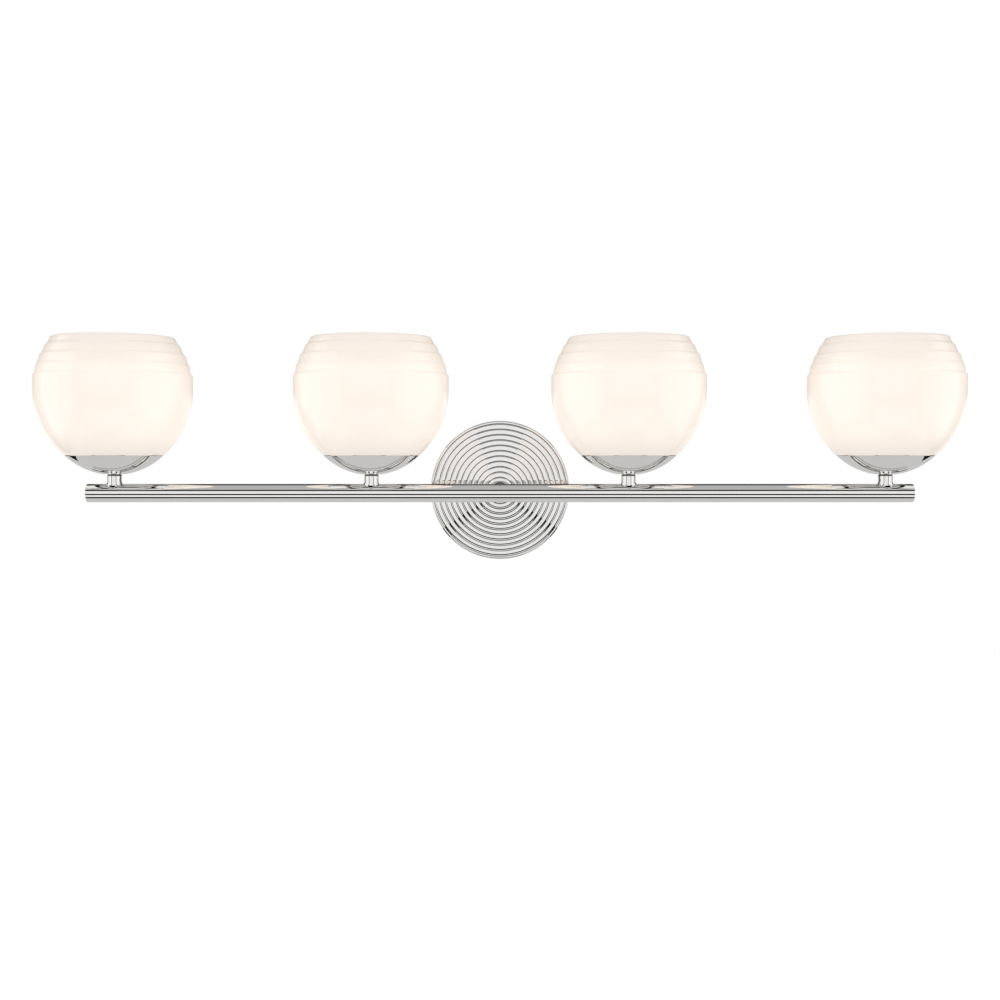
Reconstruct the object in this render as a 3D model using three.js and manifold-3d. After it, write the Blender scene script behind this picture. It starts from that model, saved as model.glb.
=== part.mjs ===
// Four-light vanity bar: a round tube on a short arm, a stepped round canopy, and four tiered
// opal globes that stand in bowl-shaped cups. Millimetres, +Z up, the wall is the plane y = 0
// and the light faces -Y. The origin is on the wall at the centre of the canopy.
import * as THREE from "three";
import { mergeVertices } from "three/addons/utils/BufferGeometryUtils.js";
import Module from "manifold-3d";

const wasm = await Module();
wasm.setup();

// ---------- driving dimensions ----------

const LIGHT_COUNT = 4;
const LIGHT_SPACING = 225;
const SEAT_GAP = 0.3; // between pieces that rest on each other
const FIT_GAP = 0.3; // radial, between a piece and the bore that holds it
const OVERCUT = 1; // how far a cutting tool passes the face that it opens

// Bar.
const BAR_RADIUS = 8;
const BAR_WALL = 1.2;
const BAR_OVERHANG = 24; // from the outer light's axis to the end face
const BAR_FROM_WALL = 102.5;
const CAP_THICKNESS = 2;
const CAP_SPIGOT = 8;

// Stem with a short neck on top, and the threaded nipple inside it, under each globe.
const STEM_WALL = 1.05;
const STEM_HEIGHT = 8.1; // from the top of the bar to the top of the neck
const STEM_FLARE = 0.8;
const STEM_FLARE_HEIGHT = 3;
const NECK_INSET = 0.7;
const NECK_HEIGHT = 1.2;
const NIPPLE_RADIUS = 5;
const NIPPLE_BORE = 3;
const NIPPLE_INTO_BAR = 2.8;
const NIPPLE_PAST_SLEEVE = 1.5;

// Cup: part of a sphere with a flat underside.
const CUP_SPHERE = 59.5;
const CUP_WALL = 1;
const CUP_FLAT_RADIUS = 8.5;
const CUP_HEIGHT = 17.1;

// Globe: a half-ellipse below its widest line, and tiers above it.
const GLASS_RADIUS = 67.6;
const GLASS_OVERHANG = 0.55; // how far the globe stands out past the cup's rim
const GLASS_RISE = 57.5; // from the cup's rim to the widest line
const GLASS_WALL = 3;
const GLASS_FLOOR = 5.2; // thickness of the flat floor that the ring clamps
const GLASS_SEAT_LIFT = 2; // underside above the cup's inner floor
const GLASS_HOLE_GAP = 1.3;
const TIER_COUNT = 4;
const TIER_PITCH = 8.6;
const TIER_START = 13.4; // from the widest line to the foot of the lowest tier
const TIER_LEAN = 0.3; // a tier leans by this share of what the globe narrows over it
const TIER_EDGE = 1.4; // height of the slanted step below a tier
const TOP_TIER_HEIGHT = 5.8;
const CROWN_DEPTH = 69; // half-height of the ellipse that the tiers follow
const LIP_ROUND = 1.6;

// Pad between the cup and the globe, from one of the seat's shared angles to the next.
const PAD_THICKNESS = 0.8;
const PAD_FROM = 1;
const PAD_TO = 2;

// Nut, lamp holder, its threaded sleeve and the ring that holds the globe down.
const NUT_HEIGHT = 3;
const NUT_WALL = 1.7; // at the middle of a flat
const SLEEVE_RADIUS = 12;
const SLEEVE_WALL = 1.4;
const SLEEVE_FLOOR = 2;
const SLEEVE_HEIGHT = 20;
const RING_GAP = 0.35;
const RING_WIDTH = 5.6;
const RING_HEIGHT = 4.5;
const HOLDER_DEPTH = 15;
const HOLDER_FLANGE = 3;
const HOLDER_FLANGE_INSET = 0.3;

// Two-pin lamp.
const PIN_SPACING = 9;
const PIN_WIDTH = 3;
const PIN_THICKNESS = 0.8;
const PIN_LENGTH = 7.5;
const PIN_SLOT_GAP = 0.5;
const LAMP_BASE_RADIUS = 8.2;
const LAMP_BASE_HEIGHT = 11;
const LAMP_RADIUS = 8.6;
const LAMP_HEIGHT = 36;

// Canopy: a stepped dome with a plain skirt and a flat boss at its centre.
const CANOPY_RADIUS = 65;
const CANOPY_WALL = 1.2;
const CANOPY_RIM_DEPTH = 13;
const CANOPY_RISE = 10;
const BOSS_RADIUS = 7.5;
const BOSS_THICKNESS = 2.9;
const BOSS_MARGIN = 1; // flat left round the nut's flange
const STEP_PITCH = 5;
const EDGE_BEAD = 2.5; // about the width of the bead round the edge
const STEP_GROOVE = 0.55;
const STEP_CREST = 0.25; // share of a step's width from its inner groove to its crest
const STEP_SHOULDER = 0.75;

// Arm between the canopy and the bar.
const ARM_WALL = 1.05;
const ARM_FLARE = 0.8;
const ARM_FLARE_LENGTH = 3;
const ARM_NIPPLE_INTO_ARM = 12;
const ARM_NIPPLE_PAST_NUT = 1.5;
const ARM_NUT_LIP = 2; // how far the nut's flange stands out past its corners
const ARM_NUT_FLANGE = 1.5;
const WIRE_HOLE_RADIUS = 4.4;

// Wall bracket, its screws and the earth screw.
const BRACKET_THICKNESS = 2;
const BRACKET_WIDTH = 22;
const BRACKET_DEPTH = 10;
const BRACKET_TO_CANOPY = 0.7;
const BOX_SLOT_NEAR = 33; // nearest and farthest box screw from the centre
const BOX_SLOT_FAR = 46;
const BOX_SLOT_WIDTH = 5;
const SIDE_SCREW_FROM_WALL = 6;
const SCREW_RADIUS = 1.9;
const SCREW_HEAD_RADIUS = 3.4;
const SCREW_HEAD_HEIGHT = 2.2;
const SIDE_SCREW_LENGTH = 8;
const SCREW_SLOT_WIDTH = 0.9;
const SCREW_SLOT_DEPTH = 1;
const EARTH_SCREW_X = 21;

// Wiring: two trunks in the bar, each with a lead up every stem and one through the arm.
const TRUNK_RADIUS = 1.5;
const TRUNK_SIDE = 2.2;
const TRUNK_DROP = 2.5;
const LEAD_RADIUS = 0.9;
const LEAD_SIDE = 1.5;
const LEAD_LIFT = 0.5; // height at which both leads run back through the arm
const LEAD_TO_HOLDER = 0.4;
const CONNECTOR_RADIUS = 5;
const CONNECTOR_TIP_RADIUS = 3;
const CONNECTOR_LENGTH = 18;
const CONNECTOR_X = 20;
const CONNECTOR_Z = 19;
const CONNECTOR_FROM_WALL = 8;
const EARTH_EYE_RADIUS = 3.2;
const EARTH_EYE_THICKNESS = 0.8;

// Facets round each kind of piece, all multiples of four, and steps along each curve.
const GLOBE_FACETS = 24;
const CANOPY_FACETS = 32;
const BAR_FACETS = 32;
const TUBE_FACETS = 16;
const SMALL_FACETS = 12;
const WIRE_FACETS = 6;
const SEAT_STEPS = 4;
const GLOBE_STEPS = 5;
const INNER_STEPS = 4;
const CROWN_STEPS = 1;
const WIRE_STEPS = 10;

// ---------- derived sizes ----------

const BAR_HALF_LENGTH = ((LIGHT_COUNT - 1) * LIGHT_SPACING) / 2 + BAR_OVERHANG;
const BAR_BORE = BAR_RADIUS - BAR_WALL;
const NIPPLE_HOLE = NIPPLE_RADIUS + FIT_GAP;
const NUT_CORNER_RADIUS = (2 * (NIPPLE_HOLE + NUT_WALL)) / Math.sqrt(3);
const ARM_NUT_FLANGE_RADIUS = NUT_CORNER_RADIUS + ARM_NUT_LIP;
const STEM_RADIUS = NIPPLE_HOLE + STEM_WALL;
const ARM_RADIUS = NIPPLE_HOLE + ARM_WALL;
const NECK_TOP_Z = BAR_RADIUS + STEM_HEIGHT;
const CUP_BOTTOM_Z = NECK_TOP_Z + SEAT_GAP;
const CUP_RIM_Z = CUP_BOTTOM_Z + CUP_HEIGHT;
const CUP_FLOOR_Z = CUP_BOTTOM_Z + CUP_WALL;
const CUP_CENTRE_Z = CUP_BOTTOM_Z + Math.sqrt(CUP_SPHERE ** 2 - CUP_FLAT_RADIUS ** 2);
const PAD_SPHERE = CUP_SPHERE - CUP_WALL - SEAT_GAP;
const SEAT_SPHERE = PAD_SPHERE - PAD_THICKNESS - SEAT_GAP;
const GLASS_UNDERSIDE_Z = CUP_FLOOR_Z + GLASS_SEAT_LIFT + PAD_THICKNESS;
const GLASS_FLOOR_Z = GLASS_UNDERSIDE_Z + GLASS_FLOOR;
const GLASS_WIDEST_Z = CUP_RIM_Z + GLASS_RISE;
const GLASS_SHOULDER_Z = CUP_RIM_Z + SEAT_GAP;
const CUP_RIM_RADIUS = Math.sqrt(CUP_SPHERE ** 2 - (CUP_CENTRE_Z - CUP_RIM_Z) ** 2);
// The lower half-ellipse is as deep as it takes to meet the cup's rim.
const GLASS_DEPTH =
  (GLASS_WIDEST_Z - GLASS_SHOULDER_Z) /
  Math.sqrt(1 - ((CUP_RIM_RADIUS + GLASS_OVERHANG) / GLASS_RADIUS) ** 2);
const GLASS_HOLE = SLEEVE_RADIUS + GLASS_HOLE_GAP;
const TIER_START_Z = GLASS_WIDEST_Z + TIER_START;
const LIP_Z = TIER_START_Z + (TIER_COUNT - 1) * TIER_PITCH + TOP_TIER_HEIGHT;
const NUT_BOTTOM_Z = CUP_FLOOR_Z + SEAT_GAP;
const SLEEVE_BOTTOM_Z = NUT_BOTTOM_Z + NUT_HEIGHT + SEAT_GAP;
const SLEEVE_TOP_Z = SLEEVE_BOTTOM_Z + SLEEVE_HEIGHT;
const SLEEVE_BORE = SLEEVE_RADIUS - SLEEVE_WALL;
const RING_BORE = SLEEVE_RADIUS + RING_GAP;
const RING_RADIUS = RING_BORE + RING_WIDTH;
const NIPPLE_TOP_Z = SLEEVE_BOTTOM_Z + SLEEVE_FLOOR + NIPPLE_PAST_SLEEVE;
const NIPPLE_BOTTOM_Z = BAR_RADIUS - NIPPLE_INTO_BAR;
const HOLDER_SEAT_Z = SLEEVE_TOP_Z + SEAT_GAP;
const HOLDER_BOTTOM_Z = HOLDER_SEAT_Z - HOLDER_DEPTH;
const HOLDER_TOP_Z = HOLDER_SEAT_Z + HOLDER_FLANGE;
const LAMP_BASE_Z = HOLDER_TOP_Z + SEAT_GAP;
const LAMP_Z = LAMP_BASE_Z + LAMP_BASE_HEIGHT + SEAT_GAP;
const CANOPY_DEPTH = CANOPY_RIM_DEPTH + CANOPY_RISE;
const CANOPY_BORE = CANOPY_RADIUS - CANOPY_WALL;
const STEP_COUNT = Math.round((CANOPY_RADIUS - BOSS_RADIUS - EDGE_BEAD) / STEP_PITCH);
const BOSS_BACK = CANOPY_DEPTH - BOSS_THICKNESS;
const ARM_NUT_TOP = BOSS_BACK - SEAT_GAP;
const ARM_NUT_BOTTOM = ARM_NUT_TOP - ARM_NUT_FLANGE - NUT_HEIGHT;
const ARM_NIPPLE_BACK = ARM_NUT_BOTTOM - ARM_NIPPLE_PAST_NUT;
const ARM_START = CANOPY_DEPTH + SEAT_GAP;
const SADDLE_RADIUS = BAR_RADIUS + SEAT_GAP;
// The bracket's flat ends touch the round skirt first at their corners.
const FLANGE_FACE = Math.sqrt((CANOPY_BORE - BRACKET_TO_CANOPY) ** 2 - (BRACKET_WIDTH / 2) ** 2);

// ---------- materials ----------

const finish = (color, roughness, metalness) =>
  new THREE.MeshStandardMaterial({ color, roughness, metalness });
const polished = () => finish(0xd9d8d4, 0.06, 1);
const zinc = () => finish(0xb4b6b4, 0.38, 1);
const green = () => finish(0x2f7a45, 0.4, 0.6);
const opal = () => finish(0xfff3e4, 0.22, 0);
const frosted = () => finish(0xfffaf0, 0.35, 0);
const ceramic = () => finish(0xe9e4d8, 0.45, 0);
const silicone = () => finish(0xd8dad8, 0.7, 0);
const plastic = (color) => finish(color, 0.5, 0);

// ---------- solids ----------

// A closed geometry as a solid that can be cut and joined.
function solidOf(geometry) {
  const bare = geometry.clone();
  bare.deleteAttribute("normal");
  bare.deleteAttribute("uv");
  const merged = mergeVertices(bare, 1e-4);
  return new wasm.Manifold(
    new wasm.Mesh({
      numProp: 3,
      vertProperties: merged.attributes.position.array,
      triVerts: new Uint32Array(merged.index.array),
    }),
  );
}

// A solid as a three.js geometry with flat faces.
function geometryOf(solid) {
  const mesh = solid.getMesh();
  const geometry = new THREE.BufferGeometry();
  geometry.setAttribute("position", new THREE.BufferAttribute(mesh.vertProperties, 3));
  geometry.setIndex(new THREE.BufferAttribute(mesh.triVerts, 1));
  const faceted = geometry.toNonIndexed();
  faceted.computeVertexNormals();
  return faceted;
}

const cut = (geometry, ...tools) =>
  geometryOf(tools.reduce((body, tool) => body.subtract(solidOf(tool)), solidOf(geometry)));

const join = (first, ...others) =>
  geometryOf(others.reduce((body, other) => body.add(solidOf(other)), solidOf(first)));

const closed = (profile) => [...profile, profile[0]];

// Turns a profile of [radius, height] points about +Z. The points run up the outside
// and down the inside, or from the axis round to the axis.
function turned(profile, facets) {
  const points = profile.map(([radius, height]) => new THREE.Vector2(radius, height));
  return new THREE.LatheGeometry(points, facets).rotateX(Math.PI / 2);
}

const tube = (outer, inner, low, high, facets) =>
  turned(closed([[inner, low], [outer, low], [outer, high], [inner, high]]), facets);

const rod = (radius, low, high, facets) =>
  turned([[0, low], [radius, low], [radius, high], [0, high]], facets);

const rodAlongX = (radius, low, high, facets) =>
  rod(radius, low, high, facets).rotateY(Math.PI / 2);

const rodAlongY = (radius, low, high, facets) =>
  rod(radius, low, high, facets).rotateX(-Math.PI / 2);

// A box from its lowest to its highest corner.
function block(low, high) {
  const size = high.map((value, axis) => value - low[axis]);
  const centre = high.map((value, axis) => (value + low[axis]) / 2);
  return new THREE.BoxGeometry(...size).translate(...centre);
}

// A round wire along a smooth curve through some points.
function wire(radius, points) {
  const path = new THREE.CatmullRomCurve3(points.map((point) => new THREE.Vector3(...point)));
  const section = new THREE.Shape();
  for (let side = 0; side < WIRE_FACETS; side += 1) {
    const angle = (side * 2 * Math.PI) / WIRE_FACETS;
    const place = [radius * Math.cos(angle), radius * Math.sin(angle)];
    if (side === 0) section.moveTo(...place);
    else section.lineTo(...place);
  }
  return new THREE.ExtrudeGeometry(section, { steps: WIRE_STEPS, extrudePath: path });
}

// Evenly spaced values from one number to another, both included.
const steps = (from, to, count) =>
  Array.from({ length: count + 1 }, (_, index) => from + ((to - from) * index) / count);

const root = new THREE.Group();

function addPiece(parent, name, geometry, material) {
  const mesh = new THREE.Mesh(geometry, material);
  mesh.name = name;
  parent.add(mesh);
  return mesh;
}

// ---------- globe, cup and pad ----------

// The cup, the pad and the globe's seat are spheres about one centre. Their facets break at
// shared angles below the horizontal, so their surfaces stay parallel.
const seatAngles = steps(
  Math.acos(CUP_FLAT_RADIUS / CUP_SPHERE),
  Math.asin((CUP_CENTRE_Z - CUP_RIM_Z) / CUP_SPHERE),
  SEAT_STEPS,
);

const onSphere = (sphere, angle) => [
  sphere * Math.cos(angle),
  CUP_CENTRE_Z - sphere * Math.sin(angle),
];

// Points up a sphere from one height to another, breaking at the shared angles between them.
function sphereArc(sphere, low, high) {
  const angleAt = (z) => Math.asin((CUP_CENTRE_Z - z) / sphere);
  const between = seatAngles.filter((angle) => angle < angleAt(low) && angle > angleAt(high));
  return [angleAt(low), ...between, angleAt(high)].map((angle) => onSphere(sphere, angle));
}

// Radius at a height of an ellipse about the globe's widest line.
const ellipseRadius = (radius, depth, z) =>
  radius * Math.sqrt(1 - ((z - GLASS_WIDEST_Z) / depth) ** 2);

// Points on such an ellipse, evenly spaced in angle from one height to another.
function ellipseArc(radius, depth, from, to, count) {
  const angleAt = (z) => Math.asin((z - GLASS_WIDEST_Z) / depth);
  return steps(angleAt(from), angleAt(to), count).map((angle) => [
    radius * Math.cos(angle),
    GLASS_WIDEST_Z + depth * Math.sin(angle),
  ]);
}

// Foot and top of each tier, from the lowest up.
function tierEdges() {
  return Array.from({ length: TIER_COUNT }, (_, tier) => {
    const foot = TIER_START_Z + tier * TIER_PITCH;
    const top = tier === TIER_COUNT - 1 ? LIP_Z : foot + TIER_PITCH;
    const middle = ellipseRadius(GLASS_RADIUS, CROWN_DEPTH, (foot + top) / 2);
    const narrowing =
      ellipseRadius(GLASS_RADIUS, CROWN_DEPTH, foot) - ellipseRadius(GLASS_RADIUS, CROWN_DEPTH, top);
    const lean = (TIER_LEAN * narrowing) / 2;
    const topEdge = tier === TIER_COUNT - 1 ? LIP_Z - LIP_ROUND : top - TIER_EDGE;
    return { foot: [middle + lean, foot], top: [middle - lean, topEdge] };
  });
}

function glassShade() {
  const edges = tierEdges();
  const topRadius = edges[TIER_COUNT - 1].top[0];
  const innerRadius = GLASS_RADIUS - GLASS_WALL;
  const crownInside = CROWN_DEPTH - GLASS_WALL / 2;
  // The inner ellipse is as deep as it takes to meet the flat floor just outside the ring.
  const floorShare = (RING_RADIUS + SEAT_GAP) / innerRadius;
  const innerDepth = (GLASS_WIDEST_Z - GLASS_FLOOR_Z) / Math.sqrt(1 - floorShare ** 2);
  const crownTop = LIP_Z - LIP_ROUND * 2;
  const profile = [
    [GLASS_HOLE, GLASS_UNDERSIDE_Z],
    ...sphereArc(SEAT_SPHERE, GLASS_UNDERSIDE_Z, GLASS_SHOULDER_Z),
    ...ellipseArc(GLASS_RADIUS, GLASS_DEPTH, GLASS_SHOULDER_Z, GLASS_WIDEST_Z, GLOBE_STEPS),
    [GLASS_RADIUS, TIER_START_Z - TIER_EDGE],
    ...edges.flatMap((edge) => [edge.foot, edge.top]),
    [topRadius - LIP_ROUND, LIP_Z],
    [topRadius - GLASS_WALL, LIP_Z],
    ...ellipseArc(innerRadius, crownInside, crownTop, GLASS_WIDEST_Z, CROWN_STEPS).slice(0, -1),
    ...ellipseArc(innerRadius, innerDepth, GLASS_WIDEST_Z, GLASS_FLOOR_Z, INNER_STEPS),
    [GLASS_HOLE, GLASS_FLOOR_Z],
  ];
  return turned(closed(profile), GLOBE_FACETS);
}

function shadeCup() {
  const profile = [
    [NIPPLE_HOLE, CUP_BOTTOM_Z],
    ...sphereArc(CUP_SPHERE, CUP_BOTTOM_Z, CUP_RIM_Z),
    ...sphereArc(CUP_SPHERE - CUP_WALL, CUP_FLOOR_Z, CUP_RIM_Z).reverse(),
    [NIPPLE_HOLE, CUP_FLOOR_Z],
  ];
  return turned(closed(profile), GLOBE_FACETS);
}

function cupPad() {
  const low = seatAngles[PAD_FROM];
  const high = seatAngles[PAD_TO];
  const inner = PAD_SPHERE - PAD_THICKNESS;
  const profile = [
    onSphere(PAD_SPHERE, low),
    onSphere(PAD_SPHERE, high),
    onSphere(inner, high),
    onSphere(inner, low),
  ];
  return turned(closed(profile), GLOBE_FACETS);
}

// ---------- stem, nuts, holder and lamp ----------

// A tube that stands on the round bar, a little wider at its foot.
function stem() {
  const neck = STEM_RADIUS - NECK_INSET;
  const foot = STEM_RADIUS + STEM_FLARE;
  const profile = [
    [NIPPLE_HOLE, 0],
    [foot, 0],
    [foot, SADDLE_RADIUS - STEM_FLARE],
    [STEM_RADIUS, SADDLE_RADIUS + STEM_FLARE_HEIGHT],
    [STEM_RADIUS, NECK_TOP_Z - NECK_HEIGHT],
    [neck, NECK_TOP_Z - NECK_HEIGHT],
    [neck, NECK_TOP_Z],
    [NIPPLE_HOLE, NECK_TOP_Z],
  ];
  const reach = foot + OVERCUT;
  return cut(turned(closed(profile), TUBE_FACETS), rodAlongX(SADDLE_RADIUS, -reach, reach, TUBE_FACETS));
}

const hexagon = (low, high) => rod(NUT_CORNER_RADIUS, low, high, 6);

const cupNut = () =>
  cut(
    hexagon(NUT_BOTTOM_Z, NUT_BOTTOM_Z + NUT_HEIGHT),
    rod(NIPPLE_HOLE, 0, NUT_BOTTOM_Z + NUT_HEIGHT + OVERCUT, SMALL_FACETS),
  );

function socketSleeve() {
  const floorTop = SLEEVE_BOTTOM_Z + SLEEVE_FLOOR;
  const profile = [
    [NIPPLE_HOLE, SLEEVE_BOTTOM_Z],
    [SLEEVE_RADIUS, SLEEVE_BOTTOM_Z],
    [SLEEVE_RADIUS, SLEEVE_TOP_Z],
    [SLEEVE_BORE, SLEEVE_TOP_Z],
    [SLEEVE_BORE, floorTop],
    [NIPPLE_HOLE, floorTop],
  ];
  return turned(closed(profile), TUBE_FACETS);
}

function shadeRing() {
  const low = GLASS_FLOOR_Z + SEAT_GAP;
  return tube(RING_RADIUS, RING_BORE, low, low + RING_HEIGHT, TUBE_FACETS);
}

// One box for each pin or pin slot, from a height up to another.
const pinBoxes = (halfWidth, halfThickness, low, high) =>
  [-PIN_SPACING / 2, PIN_SPACING / 2].map((x) =>
    block([x - halfWidth, -halfThickness, low], [x + halfWidth, halfThickness, high]),
  );

function lampHolder() {
  const plug = SLEEVE_BORE - FIT_GAP;
  const flange = SLEEVE_RADIUS - HOLDER_FLANGE_INSET;
  const body = turned(
    [
      [0, HOLDER_BOTTOM_Z],
      [plug, HOLDER_BOTTOM_Z],
      [plug, HOLDER_SEAT_Z],
      [flange, HOLDER_SEAT_Z],
      [flange, HOLDER_TOP_Z],
      [0, HOLDER_TOP_Z],
    ],
    TUBE_FACETS,
  );
  const slots = pinBoxes(
    PIN_WIDTH / 2 + PIN_SLOT_GAP,
    PIN_THICKNESS / 2 + PIN_SLOT_GAP,
    LAMP_BASE_Z - PIN_LENGTH - PIN_SLOT_GAP,
    HOLDER_TOP_Z + OVERCUT,
  );
  return cut(body, ...slots);
}

function lampBase() {
  const body = rod(LAMP_BASE_RADIUS, LAMP_BASE_Z, LAMP_BASE_Z + LAMP_BASE_HEIGHT, SMALL_FACETS);
  const pins = pinBoxes(
    PIN_WIDTH / 2,
    PIN_THICKNESS / 2,
    LAMP_BASE_Z - PIN_LENGTH,
    LAMP_BASE_Z + OVERCUT,
  );
  return join(body, ...pins);
}

function lampBulb() {
  const domeZ = LAMP_Z + LAMP_HEIGHT - LAMP_RADIUS;
  const dome = steps(0, Math.PI / 2, 3).slice(0, -1);
  const profile = [
    [0, LAMP_Z],
    [LAMP_RADIUS, LAMP_Z],
    ...dome.map((angle) => [LAMP_RADIUS * Math.cos(angle), domeZ + LAMP_RADIUS * Math.sin(angle)]),
    [0, LAMP_Z + LAMP_HEIGHT],
  ];
  return turned(profile, SMALL_FACETS);
}

function addLight(number, x) {
  const light = new THREE.Group();
  light.position.set(x, -BAR_FROM_WALL, 0);
  root.add(light);
  const nipple = tube(NIPPLE_RADIUS, NIPPLE_BORE, NIPPLE_BOTTOM_Z, NIPPLE_TOP_Z, SMALL_FACETS);
  const add = (name, geometry, material) => addPiece(light, `${name}_${number}`, geometry, material);
  add("stem", stem(), polished());
  add("threaded_nipple", nipple, zinc());
  add("shade_cup", shadeCup(), polished());
  add("cup_nut", cupNut(), zinc());
  add("cup_pad", cupPad(), silicone());
  add("socket_sleeve", socketSleeve(), zinc());
  add("lamp_holder", lampHolder(), ceramic());
  add("glass_shade", glassShade(), opal());
  add("shade_ring", shadeRing(), zinc());
  add("lamp_base", lampBase(), ceramic());
  add("lamp_bulb", lampBulb(), frosted());
}

// ---------- bar and its wiring ----------

const lightPlaces = Array.from(
  { length: LIGHT_COUNT },
  (_, index) => (index - (LIGHT_COUNT - 1) / 2) * LIGHT_SPACING,
);

function barTube() {
  const end = BAR_HALF_LENGTH - CAP_THICKNESS - SEAT_GAP;
  const shell = tube(BAR_RADIUS, BAR_BORE, -end, end, BAR_FACETS).rotateY(Math.PI / 2);
  const stemHoles = lightPlaces.map((x) =>
    rod(NIPPLE_HOLE, 0, BAR_RADIUS + OVERCUT, TUBE_FACETS).translate(x, 0, 0),
  );
  const armHole = rodAlongY(WIRE_HOLE_RADIUS, 0, BAR_RADIUS + OVERCUT, TUBE_FACETS);
  return cut(shell, ...stemHoles, armHole);
}

// A flat cap with a spigot that slides into the end of the tube.
function endCap(side) {
  const inner = BAR_HALF_LENGTH - CAP_THICKNESS;
  const spigot = BAR_BORE - FIT_GAP;
  const profile = [
    [0, inner - CAP_SPIGOT],
    [spigot, inner - CAP_SPIGOT],
    [spigot, inner],
    [BAR_RADIUS, inner],
    [BAR_RADIUS, BAR_HALF_LENGTH],
    [0, BAR_HALF_LENGTH],
  ];
  return turned(profile, BAR_FACETS).rotateY((side * Math.PI) / 2);
}

// One conductor of the harness, in the bar's own frame: side is -1 or 1. Both run back to the
// arm above the trunks, so that the front one passes over the other.
function lead(side) {
  const trunkY = side * TRUNK_SIDE;
  const armX = side * LEAD_SIDE;
  const last = lightPlaces[LIGHT_COUNT - 1] + LEAD_RADIUS;
  const trunk = rodAlongX(TRUNK_RADIUS, -last, last, WIRE_FACETS).translate(0, trunkY, -TRUNK_DROP);
  const top = HOLDER_BOTTOM_Z - LEAD_TO_HOLDER;
  const risers = lightPlaces.map((x) =>
    rod(LEAD_RADIUS, -TRUNK_DROP, top, WIRE_FACETS).translate(x, side * LEAD_SIDE, 0),
  );
  const climb = rod(LEAD_RADIUS, -TRUNK_DROP, LEAD_LIFT, WIRE_FACETS).translate(armX, trunkY, 0);
  const backY = BAR_FROM_WALL - ARM_NIPPLE_BACK;
  const run = rodAlongY(LEAD_RADIUS, trunkY - LEAD_RADIUS / 2, backY, WIRE_FACETS);
  const connectorY = BAR_FROM_WALL - CONNECTOR_FROM_WALL;
  const tail = wire(LEAD_RADIUS, [
    [armX, backY - LEAD_RADIUS, LEAD_LIFT],
    [armX, backY + LEAD_RADIUS * 2, LEAD_LIFT],
    [side * CONNECTOR_X * 0.35, connectorY, CONNECTOR_Z * 0.25],
    [side * CONNECTOR_X * 0.95, connectorY, CONNECTOR_Z * 0.55],
    [side * CONNECTOR_X, connectorY, CONNECTOR_Z + CONNECTOR_LENGTH / 4],
  ]);
  return join(trunk, ...risers, climb, run.translate(armX, 0, LEAD_LIFT), tail);
}

function addBar() {
  const bar = new THREE.Group();
  bar.position.y = -BAR_FROM_WALL;
  root.add(bar);
  addPiece(bar, "bar_tube", barTube(), polished());
  addPiece(bar, "end_cap_left", endCap(-1), polished());
  addPiece(bar, "end_cap_right", endCap(1), polished());
  addPiece(bar, "lead_live", lead(-1), plastic(0x1c1c1e));
  addPiece(bar, "lead_neutral", lead(1), plastic(0xeceae4));
}

// ---------- canopy, arm and bracket, built along +Z and turned to face -Y ----------

// Height of the canopy's front over one step, counted outwards from the boss.
const stepHeight = (step) => CANOPY_DEPTH - (CANOPY_RISE * (step + 1)) / (STEP_COUNT + 1);

// Cylinder through both sides of the skirt or of the bracket, for the side screws.
const sideScrewHoles = () =>
  rodAlongX(
    SCREW_RADIUS + FIT_GAP,
    -CANOPY_RADIUS - OVERCUT,
    CANOPY_RADIUS + OVERCUT,
    SMALL_FACETS,
  ).translate(0, 0, SIDE_SCREW_FROM_WALL);

function canopy() {
  const outerGroove = BOSS_RADIUS + STEP_COUNT * STEP_PITCH;
  const beadWidth = CANOPY_RADIUS - outerGroove;
  const front = Array.from({ length: STEP_COUNT }, (_, step) => {
    const start = BOSS_RADIUS + step * STEP_PITCH;
    const height = stepHeight(step);
    return [
      [start, height - STEP_GROOVE],
      [start + STEP_PITCH * STEP_CREST, height + STEP_GROOVE / 2],
      [start + STEP_PITCH * STEP_SHOULDER, height],
    ];
  });
  const profile = [
    [CANOPY_BORE, 0],
    [CANOPY_RADIUS, 0],
    [CANOPY_RADIUS, CANOPY_RIM_DEPTH - beadWidth / 2],
    [CANOPY_RADIUS - beadWidth / 2, CANOPY_RIM_DEPTH],
    [outerGroove, CANOPY_RIM_DEPTH - STEP_GROOVE],
    ...front.flat().reverse(),
    [BOSS_RADIUS, CANOPY_DEPTH],
    [NIPPLE_HOLE, CANOPY_DEPTH],
    [NIPPLE_HOLE, BOSS_BACK],
    [ARM_NUT_FLANGE_RADIUS + BOSS_MARGIN, BOSS_BACK],
    [CANOPY_BORE, CANOPY_RIM_DEPTH - STEP_GROOVE * 2 - CANOPY_WALL],
  ];
  return cut(turned(closed(profile), CANOPY_FACETS), sideScrewHoles());
}

// A tube from the canopy's boss to the back of the bar.
function centreArm() {
  const flare = ARM_RADIUS + ARM_FLARE;
  const profile = [
    [NIPPLE_HOLE, ARM_START],
    [flare, ARM_START],
    [ARM_RADIUS, ARM_START + ARM_FLARE_LENGTH],
    [ARM_RADIUS, BAR_FROM_WALL],
    [NIPPLE_HOLE, BAR_FROM_WALL],
  ];
  const saddle = rodAlongX(SADDLE_RADIUS, -flare, flare, BAR_FACETS).translate(0, 0, BAR_FROM_WALL);
  return cut(turned(closed(profile), TUBE_FACETS), saddle);
}

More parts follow.
